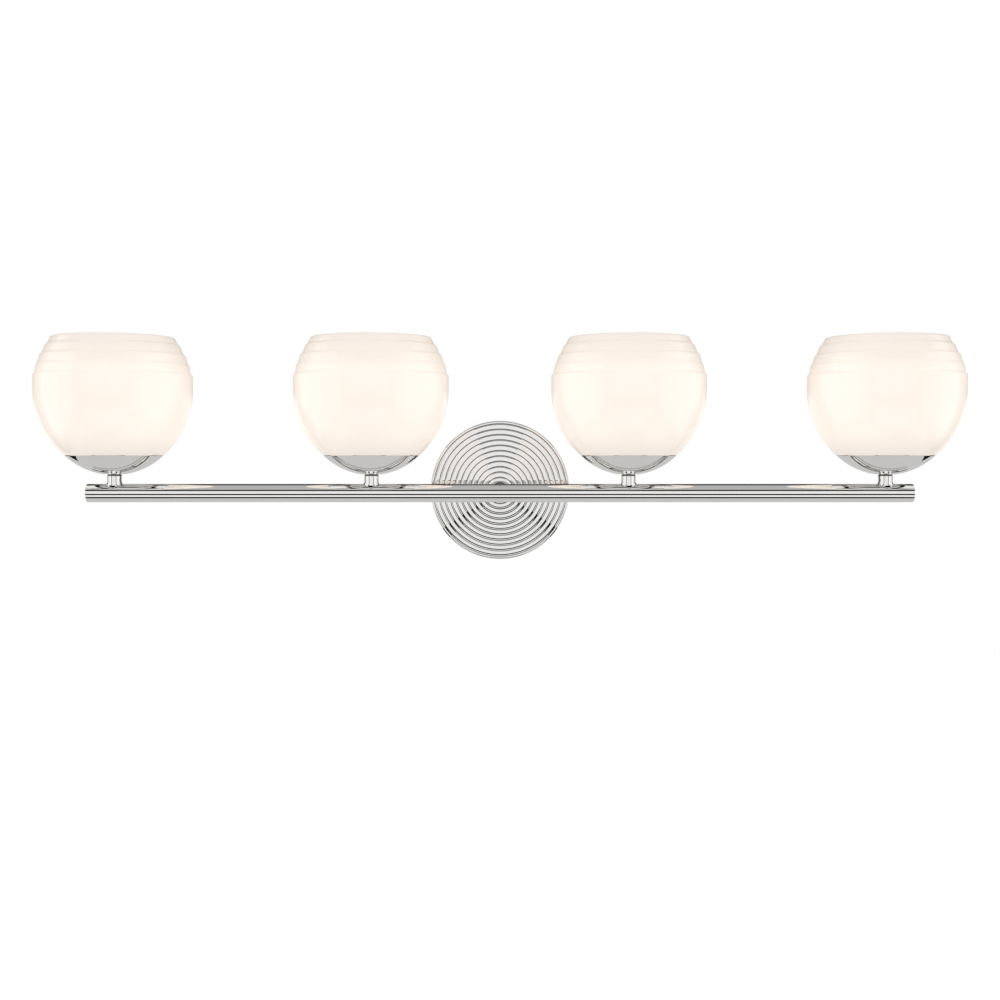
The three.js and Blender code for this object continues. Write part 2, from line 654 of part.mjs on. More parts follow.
// A hexagon nut with a round flange that bears on the back of the boss.
function armNut() {
  const flange = rod(ARM_NUT_FLANGE_RADIUS, ARM_NUT_TOP - ARM_NUT_FLANGE, ARM_NUT_TOP, TUBE_FACETS);
  const body = join(flange, hexagon(ARM_NUT_BOTTOM, ARM_NUT_TOP - ARM_NUT_FLANGE / 2));
  return cut(body, rod(NIPPLE_HOLE, 0, CANOPY_DEPTH, SMALL_FACETS));
}

// A strap against the wall with both ends bent forward just inside the canopy's skirt.
function wallBracket() {
  const half = BRACKET_WIDTH / 2;
  const strap = block([-FLANGE_FACE, -half, 0], [FLANGE_FACE, half, BRACKET_THICKNESS]);
  const ends = [-1, 1].map((side) => {
    const faces = [side * FLANGE_FACE, side * (FLANGE_FACE - BRACKET_THICKNESS)].sort((a, b) => a - b);
    return block([faces[0], -half, 0], [faces[1], half, BRACKET_DEPTH]);
  });
  const slots = [-1, 1].map((side) => {
    const reach = [side * BOX_SLOT_NEAR, side * BOX_SLOT_FAR].sort((a, b) => a - b);
    return block(
      [reach[0], -BOX_SLOT_WIDTH / 2, -OVERCUT],
      [reach[1], BOX_SLOT_WIDTH / 2, BRACKET_THICKNESS + OVERCUT],
    );
  });
  const earthHole = rod(SCREW_RADIUS + FIT_GAP, -OVERCUT, BRACKET_THICKNESS + OVERCUT, SMALL_FACETS);
  return cut(join(strap, ...ends), ...slots, sideScrewHoles(), earthHole.translate(EARTH_SCREW_X, 0, 0));
}

// A slotted screw about +Z: the underside of its head is at 0 and its shank runs down from it.
function screw(length) {
  const body = turned(
    [
      [0, -length],
      [SCREW_RADIUS, -length],
      [SCREW_RADIUS, 0],
      [SCREW_HEAD_RADIUS, 0],
      [SCREW_HEAD_RADIUS, SCREW_HEAD_HEIGHT],
      [0, SCREW_HEAD_HEIGHT],
    ],
    SMALL_FACETS,
  );
  const slot = block(
    [-SCREW_HEAD_RADIUS - OVERCUT, -SCREW_SLOT_WIDTH / 2, SCREW_HEAD_HEIGHT - SCREW_SLOT_DEPTH],
    [SCREW_HEAD_RADIUS + OVERCUT, SCREW_SLOT_WIDTH / 2, SCREW_HEAD_HEIGHT + OVERCUT],
  );
  return cut(body, slot);
}

// A twist-on connector, open at its wide end so that the lead runs up into it.
function wireConnector() {
  const profile = [
    [LEAD_RADIUS + FIT_GAP, 0],
    [CONNECTOR_RADIUS, 0],
    [CONNECTOR_TIP_RADIUS, CONNECTOR_LENGTH],
    [0, CONNECTOR_LENGTH],
    [0, CONNECTOR_LENGTH / 2],
    [LEAD_RADIUS + FIT_GAP, CONNECTOR_LENGTH / 2],
  ];
  return turned(closed(profile), SMALL_FACETS);
}

// A bare earth wire from an eye under the earth screw towards the arm's nut.
function earthLead() {
  const eyeLow = BRACKET_THICKNESS + SEAT_GAP;
  const middle = eyeLow + EARTH_EYE_THICKNESS / 2;
  const eye = tube(
    EARTH_EYE_RADIUS,
    SCREW_RADIUS + FIT_GAP,
    eyeLow,
    eyeLow + EARTH_EYE_THICKNESS,
    SMALL_FACETS,
  ).translate(EARTH_SCREW_X, 0, 0);
  const tail = wire(LEAD_RADIUS / 2, [
    [EARTH_SCREW_X, LEAD_RADIUS / 2 - EARTH_EYE_RADIUS, middle],
    [EARTH_SCREW_X - EARTH_EYE_RADIUS, -BRACKET_WIDTH / 3, middle + 1.5],
    [ARM_NUT_FLANGE_RADIUS, -BRACKET_WIDTH / 2, ARM_NUT_BOTTOM / 2],
    [NUT_CORNER_RADIUS + ARM_NUT_LIP / 2, -LEAD_RADIUS, ARM_NUT_TOP - ARM_NUT_FLANGE - LEAD_RADIUS],
  ]);
  return join(eye, tail);
}

function addCanopy() {
  const front = new THREE.Group();
  front.rotation.x = Math.PI / 2;
  root.add(front);
  const armNipple = tube(
    NIPPLE_RADIUS,
    NIPPLE_BORE,
    ARM_NIPPLE_BACK,
    ARM_START + ARM_NIPPLE_INTO_ARM,
    SMALL_FACETS,
  );
  addPiece(front, "canopy", canopy(), polished());
  addPiece(front, "centre_arm", centreArm(), polished());
  addPiece(front, "arm_nipple", armNipple, zinc());
  addPiece(front, "arm_nut", armNut(), zinc());
  addPiece(front, "wall_bracket", wallBracket(), zinc());
  const earthHeadZ = BRACKET_THICKNESS + EARTH_EYE_THICKNESS + SEAT_GAP * 2;
  const earthScrew = addPiece(front, "earth_screw", screw(earthHeadZ - SEAT_GAP), green());
  earthScrew.position.set(EARTH_SCREW_X, 0, earthHeadZ);
  addPiece(front, "earth_lead", earthLead(), finish(0xb87333, 0.35, 1));
  [["left", -1], ["right", 1]].forEach(([name, side]) => {
    const sideScrew = addPiece(front, `canopy_screw_${name}`, screw(SIDE_SCREW_LENGTH), polished());
    sideScrew.position.set(side * (CANOPY_RADIUS + SEAT_GAP), 0, SIDE_SCREW_FROM_WALL);
    sideScrew.rotation.y = (side * Math.PI) / 2;
  });
}

function addConnectors() {
  [["live", -1, 0xe08a2e], ["neutral", 1, 0xd9b23a]].forEach(([name, side, color]) => {
    const piece = addPiece(root, `wire_connector_${name}`, wireConnector(), plastic(color));
    piece.position.set(side * CONNECTOR_X, -CONNECTOR_FROM_WALL, CONNECTOR_Z);
  });
}

addBar();
lightPlaces.forEach((x, index) => addLight(index + 1, x));
addCanopy();
addConnectors();

export default root;
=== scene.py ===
"""Four-light vanity bar: tiered opal globes on a polished tube, dressed in a plain white studio.

Lengths in this file are millimetres in the row frame (+X along the bar, +Y into the wall, +Z up)
until a mesh is made; `MM` turns them into metres. Finishes, and the camera, are in metres, because
they work on the finished meshes.
"""

import logging
import math
from collections.abc import Callable, Sequence
from dataclasses import dataclass, field
from enum import Enum

import bmesh
import bpy
import numpy as np
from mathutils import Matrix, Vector


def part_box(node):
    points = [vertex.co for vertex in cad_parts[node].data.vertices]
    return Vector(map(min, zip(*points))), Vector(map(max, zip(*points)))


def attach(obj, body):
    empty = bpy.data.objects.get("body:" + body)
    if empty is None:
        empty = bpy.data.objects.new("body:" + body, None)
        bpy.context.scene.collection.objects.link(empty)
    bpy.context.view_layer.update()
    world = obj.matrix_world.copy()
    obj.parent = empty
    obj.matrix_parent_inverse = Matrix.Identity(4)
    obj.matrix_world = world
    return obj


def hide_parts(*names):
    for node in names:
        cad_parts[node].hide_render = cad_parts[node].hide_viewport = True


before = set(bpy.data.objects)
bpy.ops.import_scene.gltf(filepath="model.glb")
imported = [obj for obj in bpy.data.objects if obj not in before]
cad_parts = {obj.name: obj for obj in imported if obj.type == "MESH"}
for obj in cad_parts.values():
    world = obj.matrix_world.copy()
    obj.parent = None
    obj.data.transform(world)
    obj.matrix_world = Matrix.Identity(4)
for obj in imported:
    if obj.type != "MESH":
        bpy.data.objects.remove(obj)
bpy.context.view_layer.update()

MM = 0.001
TINY = 1e-6  # shorter than any real length here, in millimetres
SAME_POINT = 1e-5
LEAST_ANGLE = 1e-3
FIT = 0.3  # gap between two pieces that touch
BREAK = 0.1  # fillet of an edge that is only broken
SHARP_ANGLE = math.radians(40)
SMALL_FACETS, FACETS, LARGE_FACETS = 48, 96, 160  # columns round a turned piece
NUT_FACETS, DRILL_FACETS, PAD_FACETS = 144, 64, 128
SKIN = 0.02  # how far under the outside a thread still bites
WORN_SLOPE = 1.6  # how steeply a nut's corners fall off towards its faces
NIPPLE_RADIUS, NIPPLE_BORE, NIPPLE_HOLE = 5.0, 3.0, 5.3
PIN_PLACES = (-4.5, 4.5)
SCATTER = 0.004  # how far light spreads inside a translucent finish, in metres
MID_TONES = (0.3, 0.7)  # the range that most of a pattern's values fall in
NEVER_ALONG = (0.36, 0.48, 0.8)  # a direction that no wire takes
SIDES = ("left", "right")
CLEAN_GAP = 1e-7  # points of a cut mesh that lie closer, in metres, are one
INSIDE = "inside"  # attribute of the points in a globe's hollow
LOG = logging.getLogger("vanity_bar")
Grid = np.ndarray
Pair = tuple[np.ndarray, np.ndarray]
Ripple = Callable[[Grid, Grid, Grid], Pair]
Point = Sequence[float]
Colour = tuple[float, float, float]
Socket = bpy.types.NodeSocket


# ---------------------------------------------------------------- profiles


def unit(rows: np.ndarray) -> np.ndarray:
    """Divides each row by its length; a row of noughts stays as it is."""
    return rows / np.maximum(np.linalg.norm(rows, axis=1), TINY)[:, None]


def stations(points: np.ndarray) -> np.ndarray:
    """Distance of each point from the first, along the line that joins them."""
    return np.concatenate([[0.0], np.cumsum(np.linalg.norm(np.diff(points, axis=0), axis=1))])


def along(places: np.ndarray, points: np.ndarray) -> np.ndarray:
    """Points at distances along a profile, in straight lines between the profile's own points."""
    return np.column_stack([np.interp(places, stations(points), points[:, axis]) for axis in (0, 1)])


def rounded(corners: Sequence[Point], arc: int = 6) -> np.ndarray:
    """Rounds the corners of an outline with circular arcs.

    Each arc touches both sides of its corner. Its centre lies on the corner's bisector, at the
    fillet radius divided by the sine of half the corner's angle.

    Args:
        corners: Rows of radius, height and fillet radius.
        arc: Points on each arc.

    Returns:
        The outline's points without repeats, as radius and height.
    """
    rows = np.asarray(corners, float)
    place, fillet = rows[:, :2], rows[:, 2]
    back = np.roll(place, 1, axis=0) - place
    ahead = np.roll(place, -1, axis=0) - place
    back, ahead = unit(back), unit(ahead)
    half = np.arccos(np.clip((back * ahead).sum(axis=1), -1, 1)) / 2
    half = np.maximum(half, LEAST_ANGLE)
    centre = place + unit(back + ahead) * (fillet / np.sin(half))[:, None]
    start = place + back * (fillet / np.tan(half))[:, None] - centre
    end = place + ahead * (fillet / np.tan(half))[:, None] - centre
    first = np.arctan2(start[:, 1], start[:, 0])
    turn = np.arctan2(end[:, 1], end[:, 0]) - first
    turn = (turn + np.pi) % (2 * np.pi) - np.pi
    angle = first[:, None] + turn[:, None] * np.linspace(0, 1, arc)
    circle = np.stack([np.cos(angle), np.sin(angle)], axis=2)
    points = (centre[:, None] + fillet[:, None, None] * circle).reshape(-1, 2)
    step = np.linalg.norm(np.diff(points, axis=0), axis=1)
    return points[np.concatenate([[True], step > SAME_POINT])]


def supported(profile: np.ndarray, closed: bool, reach: float = 0.25) -> np.ndarray:
    """Adds a point close to both ends of each long side, so that smooth shading stays true there.

    Args:
        profile: Points as radius and height.
        closed: Whether the last point joins the first.
        reach: Distance of the added points from the side's ends.

    Returns:
        The profile with the added points.
    """
    loop = np.vstack([profile, profile[:1]]) if closed else profile
    station = stations(loop)
    long = np.linalg.norm(np.diff(loop, axis=0), axis=1) > 8 * reach
    added = np.concatenate([station[:-1][long] + reach, station[1:][long] - reach])
    points = along(np.sort(np.concatenate([station, added])), loop)
    return points[:-1] if closed else points


def plain(points: np.ndarray) -> np.ndarray:
    """Gives points of a curve a fillet radius of nought, for `rounded`."""
    return np.column_stack([points, np.zeros(len(points))])


def upright(radius: float, heights: np.ndarray) -> np.ndarray:
    """Corners at one radius without fillets, to carry a ripple."""
    return plain(np.column_stack([np.full(len(heights), radius), heights]))


def ellipse_run(
    radius: float, depth: float, height: float, low: float, high: float, count: int
) -> np.ndarray:
    """Points on an ellipse about the axis: radius × the cosine and depth × the sine of an angle.

    Args:
        radius: Half-axis across.
        depth: Half-axis along the height.
        height: Height of the centre.
        low: Height of the first point.
        high: Height of the last point.
        count: How many points.

    Returns:
        Rows of radius and height, evenly spaced in that angle.
    """
    angle = np.linspace(math.asin((low - height) / depth), math.asin((high - height) / depth), count)
    return np.column_stack([radius * np.cos(angle), height + depth * np.sin(angle)])


# ---------------------------------------------------------------- shapes


class Axis(Enum):
    """Where the axis of a turned shape points."""

    UP = "up"
    FRONT = "front"
    RIGHT = "right"
    LEFT = "left"


@dataclass
class Shape:
    """Points in millimetres and the faces between them."""

    points: np.ndarray
    quads: np.ndarray
    triangles: np.ndarray = field(default_factory=lambda: np.zeros((0, 3), int))

    def corner_triangles(self) -> np.ndarray:
        """All faces as triangles."""
        halves = [self.quads[:, [0, 1, 2]], self.quads[:, [0, 2, 3]], self.triangles]
        return np.concatenate(halves)

    def outward(self) -> "Shape":
        """Turns the faces over if they enclose a negative volume.

        The volume is the sum over the triangles of a sixth of a · (b × c).

        Returns:
            This shape or its mirror image in winding.
        """
        a, b, c = (self.points[self.corner_triangles()[:, k]] for k in range(3))
        if np.einsum("ij,ij->i", a, np.cross(b, c)).sum() >= 0:
            return self
        return Shape(self.points, self.quads[:, ::-1], self.triangles[:, ::-1])

    def facing(self, axis: Axis) -> "Shape":
        """Turns the shape's own +Z to an axis.

        Args:
            axis: Where the shape's axis points.

        Returns:
            The turned shape.
        """
        x, y, z = self.points.T
        turned = {
            Axis.UP: (x, y, z),
            Axis.FRONT: (x, -z, y),
            Axis.RIGHT: (z, y, -x),
            Axis.LEFT: (-z, y, x),
        }[axis]
        return Shape(np.column_stack(turned), self.quads, self.triangles)

    def moved(self, x: float = 0.0, y: float = 0.0, z: float = 0.0) -> "Shape":
        """Shifts every point."""
        return Shape(self.points + np.array([x, y, z]), self.quads, self.triangles)

    def joined(self, *others: "Shape") -> "Shape":
        """One shape that holds this one and others side by side, each with its faces outward.

        Args:
            *others: The shapes that it is joined to.

        Returns:
            All points and faces in one shape.
        """
        shapes = [shape.outward() for shape in (self, *others)]
        starts = np.cumsum([0] + [len(shape.points) for shape in shapes])[:-1]
        return Shape(
            np.concatenate([shape.points for shape in shapes]),
            np.concatenate([s.quads + start for s, start in zip(shapes, starts)]),
            np.concatenate([s.triangles + start for s, start in zip(shapes, starts)]),
        )

    def mesh(self, name: str) -> bpy.types.Mesh:
        """Makes a smooth mesh in metres, with sharp edges where faces meet at over 40°.

        Args:
            name: The mesh's name.

        Returns:
            The new mesh.
        """
        shape = self.outward()
        mesh = bpy.data.meshes.new(name)
        faces = shape.quads.tolist() + shape.triangles.tolist()
        mesh.from_pydata((shape.points * MM).tolist(), [], faces)
        mesh.polygons.foreach_set("use_smooth", np.ones(len(faces), bool))
        mesh.set_sharp_from_angle(angle=SHARP_ANGLE)
        mesh.update()
        return mesh


def grid_quads(rows: int, columns: int, closed_rows: bool) -> np.ndarray:
    """Quads between neighbours on a grid whose columns wrap, and its rows too if they are closed.

    Args:
        rows: Points across the columns.
        columns: Points across the rows.
        closed_rows: Whether the last row joins the first.

    Returns:
        Four point numbers for each face.
    """
    row = np.arange(rows if closed_rows else rows - 1)[:, None]
    column = np.arange(columns)[None, :]
    here, above = row * columns, (row + 1) % rows * columns
    after = (column + 1) % columns
    return np.stack([here + column, here + after, above + after, above + column], -1).reshape(-1, 4)


def capped(points: np.ndarray, rows: int, low: Point, high: Point) -> Shape:
    """Closes a grid of points with a fan of triangles about a pole at each end.

    Args:
        points: The grid's points, row by row.
        rows: How many rows there are.
        low: The pole before the first row.
        high: The pole after the last row.

    Returns:
        The closed shape.
    """
    columns = len(points) // rows
    here = np.arange(columns)
    after, last = (here + 1) % columns, (rows - 1) * columns
    pole = np.full(columns, len(points))
    fans = [np.column_stack([pole, after, here]), np.column_stack([pole + 1, last + here, last + after])]
    quads = grid_quads(rows, columns, closed_rows=False)
    return Shape(np.vstack([points, low, high]), quads, np.concatenate(fans))


def on_axis(profile: np.ndarray) -> bool:
    """Whether both ends of a profile lie on the axis."""
    return bool(profile[0, 0] < TINY and profile[-1, 0] < TINY)


def turned(profile: np.ndarray, facets: int, ripple: Ripple | None = None) -> Shape:
    """Turns a profile about +Z: a point at an angle is (r cos, r sin, z).

    A profile whose ends both lie on the axis is closed by a fan of triangles at each end, and any
    other one is a ring whose last point joins its first.

    Args:
        profile: Rows of radius and height.
        facets: Columns round the axis.
        ripple: Takes radius, height and angle as grids and gives the changed radius and height.

    Returns:
        The closed shape.
    """
    solid = on_axis(profile)
    rows = profile[1:-1] if solid else profile
    angle = np.broadcast_to(np.arange(facets) * (2 * np.pi / facets), (len(rows), facets))
    radius = np.repeat(rows[:, :1], facets, axis=1)
    height = np.repeat(rows[:, 1:], facets, axis=1)
    if ripple:
        radius, height = ripple(radius, height, angle)
    points = np.stack([radius * np.cos(angle), radius * np.sin(angle), height], -1).reshape(-1, 3)
    if solid:
        return capped(points, len(rows), (0, 0, profile[0, 1]), (0, 0, profile[-1, 1]))
    return Shape(points, grid_quads(len(rows), facets, closed_rows=True))


def ring(corners: Sequence[Point], facets: int = FACETS, ripple: Ripple | None = None) -> Shape:
    """A turned shape from an outline's corners, each with its own fillet.

    Args:
        corners: Rows of radius, height and fillet radius.
        facets: Columns round the axis.
        ripple: A change of the surface, as in `turned`.

    Returns:
        The closed shape.
    """
    outline = rounded(corners)
    return turned(supported(outline, closed=not on_axis(outline)), facets, ripple)


def box(low: Point, high: Point) -> Shape:
    """A block from its lowest to its highest corner.

    Args:
        low: The corner with the least x, y and z.
        high: The opposite corner.

    Returns:
        The closed shape.
    """
    square = [[0, 0], [1, 0], [1, 1], [0, 1]]
    share = np.array([[x, y, z] for z in (0, 1) for x, y in square])
    points = np.asarray(low) + share * (np.asarray(high) - np.asarray(low))
    faces = [[0, 3, 2, 1], [4, 5, 6, 7], [0, 1, 5, 4], [1, 2, 6, 5], [2, 3, 7, 6], [3, 0, 4, 7]]
    return Shape(points, np.array(faces))


def rod(radius: float, low: float, high: float, facets: int) -> Shape:
    """A plain round rod along +Z."""
    return ring([[0, low, 0], [radius, low, 0], [radius, high, 0], [0, high, 0]], facets)


def smooth_path(points: Sequence[Point], count: int) -> np.ndarray:
    """A Catmull-Rom curve through points, whose tangent at a point runs between its neighbours.

    Args:
        points: The points that it passes.
        count: Points on each stretch between two of them.

    Returns:
        Points along the curve.
    """
    knots = np.asarray(points, float)
    padded = np.vstack([2 * knots[0] - knots[1], knots, 2 * knots[-1] - knots[-2]])
    before, start, end, after = (padded[k : len(knots) - 1 + k, None] for k in range(4))
    t = np.linspace(0, 1, count, endpoint=False)[None, :, None]
    curve = 0.5 * (
        2 * start
        + (end - before) * t
        + (2 * before - 5 * start + 4 * end - after) * t**2
        + (3 * start - before - 3 * end + after) * t**3
    )
    return np.vstack([curve.reshape(-1, 3), knots[-1:]])


def swept(path: np.ndarray, radius: float, sides: int, twist: float = 0.0, strands: int = 0) -> Shape:
    """Carries a round section along a path.

    The section's first direction is across the path and a fixed direction that the path never
    takes, and its second is across both. Strands lift the surface by a tenth of the radius, as a
    wave of the angle that turns along the path.

    Args:
        path: Points along the middle.
        radius: Radius of the section.
        sides: Points round it.
        twist: Turns of the strands over the whole path.
        strands: How many strands there are, or nought for a plain surface.

    Returns:
        The closed shape, with flat ends.
    """
    tangent = unit(np.gradient(path, axis=0))
    across = unit(np.cross(tangent, NEVER_ALONG))
    other = np.cross(tangent, across)
    angle = np.arange(sides) * (2 * np.pi / sides)
    share = np.linspace(0, 1, len(path))[:, None]
    wave = np.cos(strands * (angle + 2 * np.pi * twist * share)) if strands else 0.0 * share
    reach = (radius * (1 + 0.1 * wave))[..., None]
    offset = np.cos(angle)[None, :, None] * across[:, None] + np.sin(angle)[None, :, None] * other[:, None]
    return capped((path[:, None] + reach * offset).reshape(-1, 3), len(path), path[0], path[-1])


def dip(turns: np.ndarray) -> np.ndarray:
    """A smooth wave from nought to one and back over each turn: half of 1 − cosine."""
    return 0.5 - 0.5 * np.cos(2 * np.pi * turns)


def threads(radius: float, depth: float, pitch: float, low: float, high: float) -> Ripple:
    """A thread cut into the outside between two heights.

    The radius falls by up to the depth, as a cosine of the height in pitches less the angle in
    turns, and fades out over half a pitch at both ends.

    Args:
        radius: Radius over the thread.
        depth: Depth of the thread.
        pitch: Height of one turn.
        low: Height where the thread starts.
        high: Height where it ends.

    Returns:
        The change of the surface.
    """

    def ripple(r: Grid, z: Grid, angle: Grid) -> Pair:
        """Cuts the thread where the surface is the outside."""
        wave = dip(z / pitch - angle / (2 * np.pi))
        fade = np.clip(np.minimum(z - low, high - z) / (pitch / 2), 0, 1)
        return r - depth * wave * fade * (r > radius - SKIN), z

    return ripple


def hexagonal(flat: float, corner: float, chamfer: float, low: float, high: float) -> Ripple:
    """Makes the outside six-sided: flat ÷ cos(angle from the middle of a side), with worn corners.

    Towards both faces the radius is no more than the corner's less the distance past the chamfer.

    Args:
        flat: Distance of a side from the axis.
        corner: Distance of a corner.
        chamfer: Height of the worn band at both faces.
        low: Height of the lower face.
        high: Height of the upper face.

    Returns:
        The change of the surface.
    """

    def ripple(r: Grid, z: Grid, angle: Grid) -> Pair:
        """Shapes the outside and leaves the bore."""
        side = (angle + np.pi / 6) % (np.pi / 3) - np.pi / 6
        cone = corner - np.maximum(chamfer - np.minimum(z - low, high - z), 0) * WORN_SLOPE
        hexagon = np.minimum(flat / np.cos(side), cone) - (corner - r).clip(0)
        return np.where(r > flat - 0.6, hexagon, r), z

    return ripple


def saddle(pipe: float, crest: float, top: float, sense: float) -> Ripple:
    """Lets a tube's end follow a round bar that lies across it.

    The end's points move by how far the bar's surface falls away beside its crest line: the bar's
    radius less the root of its square less (r sin angle)². The move fades to nothing at a height.

    Args:
        pipe: Radius of the bar with the gap.
        crest: Height of the end face over the bar's crest.
        top: Height where the tube is plain again.
        sense: 1 for a tube that ends upwards and -1 for one that ends downwards.

    Returns:
        The change of the surface.
    """

    def ripple(r: Grid, z: Grid, angle: Grid) -> Pair:
        """Moves the points near the end."""
        fall = pipe - np.sqrt(pipe**2 - np.minimum(np.abs(r * np.sin(angle)), pipe) ** 2)
        fade = np.clip((z - top) / (crest - top), 0, 1)
        return r, z + sense * fall * fade

    return ripple


# ---------------------------------------------------------------- finishes


class Graph:
    """Adds and links the nodes of one tree."""

    def __init__(self, tree: bpy.types.NodeTree) -> None:
        """Starts with an empty tree."""
        self.tree = tree
        tree.nodes.clear()

    def node(self, kind: str, inputs: dict | None = None, **settings: object) -> bpy.types.Node:
        """Adds a node.

        Args:
            kind: The node's type, without its leading "ShaderNode".
            inputs: Values or sockets by input name or number.
            **settings: The node's own properties.

        Returns:
            The node.
        """
        made = self.tree.nodes.new("ShaderNode" + kind)
        for name, value in settings.items():
            setattr(made, name, value)
        for name, value in (inputs or {}).items():
            if isinstance(value, Socket):
                self.tree.links.new(value, made.inputs[name])
            else:
                made.inputs[name].default_value = value
        return made

    def maths(self, operation: str, *values: object) -> Socket:
        """Adds a Math node and gives its result."""
        return self.node("Math", dict(enumerate(values)), operation=operation).outputs[0]

    def product(self, first: object, *others: object) -> Socket:
        """Multiplies values one after another."""
        for other in others:
            first = self.maths("MULTIPLY", first, other)
        return first

    def larger(self, value: object, than: object) -> Socket:
        """Gives 1 where a value is over another one and 0 elsewhere."""
        return self.maths("GREATER_THAN", value, than)

    def blend(self, share: object, first: object, second: object) -> Socket:
        """Mixes two colours and gives the result.

        Args:
            share: How much of the second colour there is.
            first: A colour or a socket.
            second: A colour or a socket.

        Returns:
            The mixed colour.
        """
        pair = {6: first, 7: second}
        inputs = {name: c if isinstance(c, Socket) else (*c, 1.0) for name, c in pair.items()}
        return self.node("Mix", {0: share} | inputs, data_type="RGBA").outputs[2]

    def span(self, value: object, low: float, high: float, start: float, end: float) -> Socket:
        """Maps a value from one range to another, and holds it at the ends."""
        inputs = {"Value": value, "From Min": low, "From Max": high, "To Min": start, "To Max": end}
        return self.node("MapRange", inputs).outputs["Result"]

    def place(self) -> Socket:
        """The point's own place on the object, in metres."""
        return self.node("TexCoord").outputs["Object"]

    def parts(self, vector: Socket) -> Sequence[Socket]:
        """The x, y and z of a vector."""
        return self.node("SeparateXYZ", {"Vector": vector}).outputs

    def surface(self, inputs: dict) -> None:
        """Ends a material's tree in one principled shader."""
        shader = self.node("BsdfPrincipled", inputs)
        self.node("OutputMaterial", {"Surface": shader.outputs[0]})


def new_material(name: str) -> tuple[bpy.types.Material, Graph]:
    """Makes a material with an empty tree, and gives both."""
    material = bpy.data.materials.new(name)
    material.use_nodes = True
    return material, Graph(material.node_tree)


class Grain(Enum):
    """What the pattern of a finish looks like."""

    CLOUD = "cloud"
    SPANGLE = "spangle"


@dataclass(frozen=True)
class Finish:
    """A finish with a broad tone that varies slowly and a fine grain in roughness and relief."""

    label: str
    slot: str
    colour: Colour
    shade: Colour
    metallic: float = 0.0
    roughness: tuple[float, float] = (0.3, 0.4)
    grain: Grain = Grain.CLOUD
    broad: float = 40.0
    fine: float = 900.0
    relief: float = 0.15
    depth: float = 0.00005
    translucent: float = 0.0

    def texture(self, graph: Graph, scale: float, detail: float) -> Socket:
        """The finish's pattern at a scale, from nought to one.

        Args:
            graph: The material's tree.
            scale: Features in a metre.
            detail: Octaves of a cloud.

        Returns:
            The pattern's value.
        """
        inputs = {"Vector": graph.place(), "Scale": scale}
        if self.grain is Grain.SPANGLE:
            return graph.node("TexVoronoi", inputs, feature="F1").outputs["Distance"]
        return graph.node("TexNoise", inputs | {"Detail": detail, "Roughness": 0.6}).outputs[0]

    def painted_hollow_shade(self, graph: Graph, colour: Socket) -> Socket:
        """The colour with painted shade in the piece's hollows; most finishes have none."""
        return colour

    def glow(self, graph: Graph) -> dict:
        """Inputs of the shader for the light that the finish gives off; most give none."""
        return {}

    def build(self) -> bpy.types.Material:
        """Makes the material.

        Returns:
            The new material.
        """
        material, graph = new_material(self.label)
        broad = self.texture(graph, self.broad, 3.0)
        fine = self.texture(graph, self.fine, 2.0)
        relief = {"Height": fine, "Strength": self.relief, "Distance": self.depth}
        tone = graph.span(broad, *MID_TONES, 0.0, 1.0)
        inputs = {
            "Base Color": self.painted_hollow_shade(graph, graph.blend(tone, self.colour, self.shade)),
            "Metallic": self.metallic,
            "Roughness": graph.span(fine, *MID_TONES, *self.roughness),
            "Normal": graph.node("Bump", relief).outputs[0],
            "Subsurface Weight": self.translucent,
            "Subsurface Scale": SCATTER,
        }
        graph.surface(inputs | self.glow(graph))
        return material


@dataclass(frozen=True)
class LitGlass(Finish):
    """Glass that light comes through, brighter in a band of heights and dimmer above and below.

    `foot` and `crown` are the heights over which it dims and `dim` is what is left there. Points
    whose own attribute marks them as the inside give off less, because the hollow gathers light
    from all around.
    """

    lit: Colour = (1.0, 0.85, 0.7)
    strength: float = 0.6
    foot: tuple[float, float] = (0.030, 0.060)
    crown: tuple[float, float] = (0.100, 0.150)
    dim: tuple[float, float] = (0.8, 0.9)
    hollow: float = 0.5

    def glow(self, graph: Graph) -> dict:
        """Warm light whose strength depends on the height of the point.

        Args:
            graph: The material's tree.

        Returns:
            Colour and strength by the shader's input names.
        """
        height = graph.parts(graph.place())[2]
        below = graph.span(height, *self.foot, self.dim[0], 1.0)
        above = graph.span(height, *self.crown, 1.0, self.dim[1])
        cloud = graph.span(self.texture(graph, 25.0, 2.0), *MID_TONES, 0.985, 1.015)
        inside = graph.node("Attribute", attribute_name=INSIDE).outputs["Fac"]
        shaded = graph.span(inside, 0.0, 1.0, 1.0, self.hollow)
        strength = graph.product(below, above, cloud, shaded, self.strength)
        return {"Emission Color": (*self.lit, 1.0), "Emission Strength": strength}


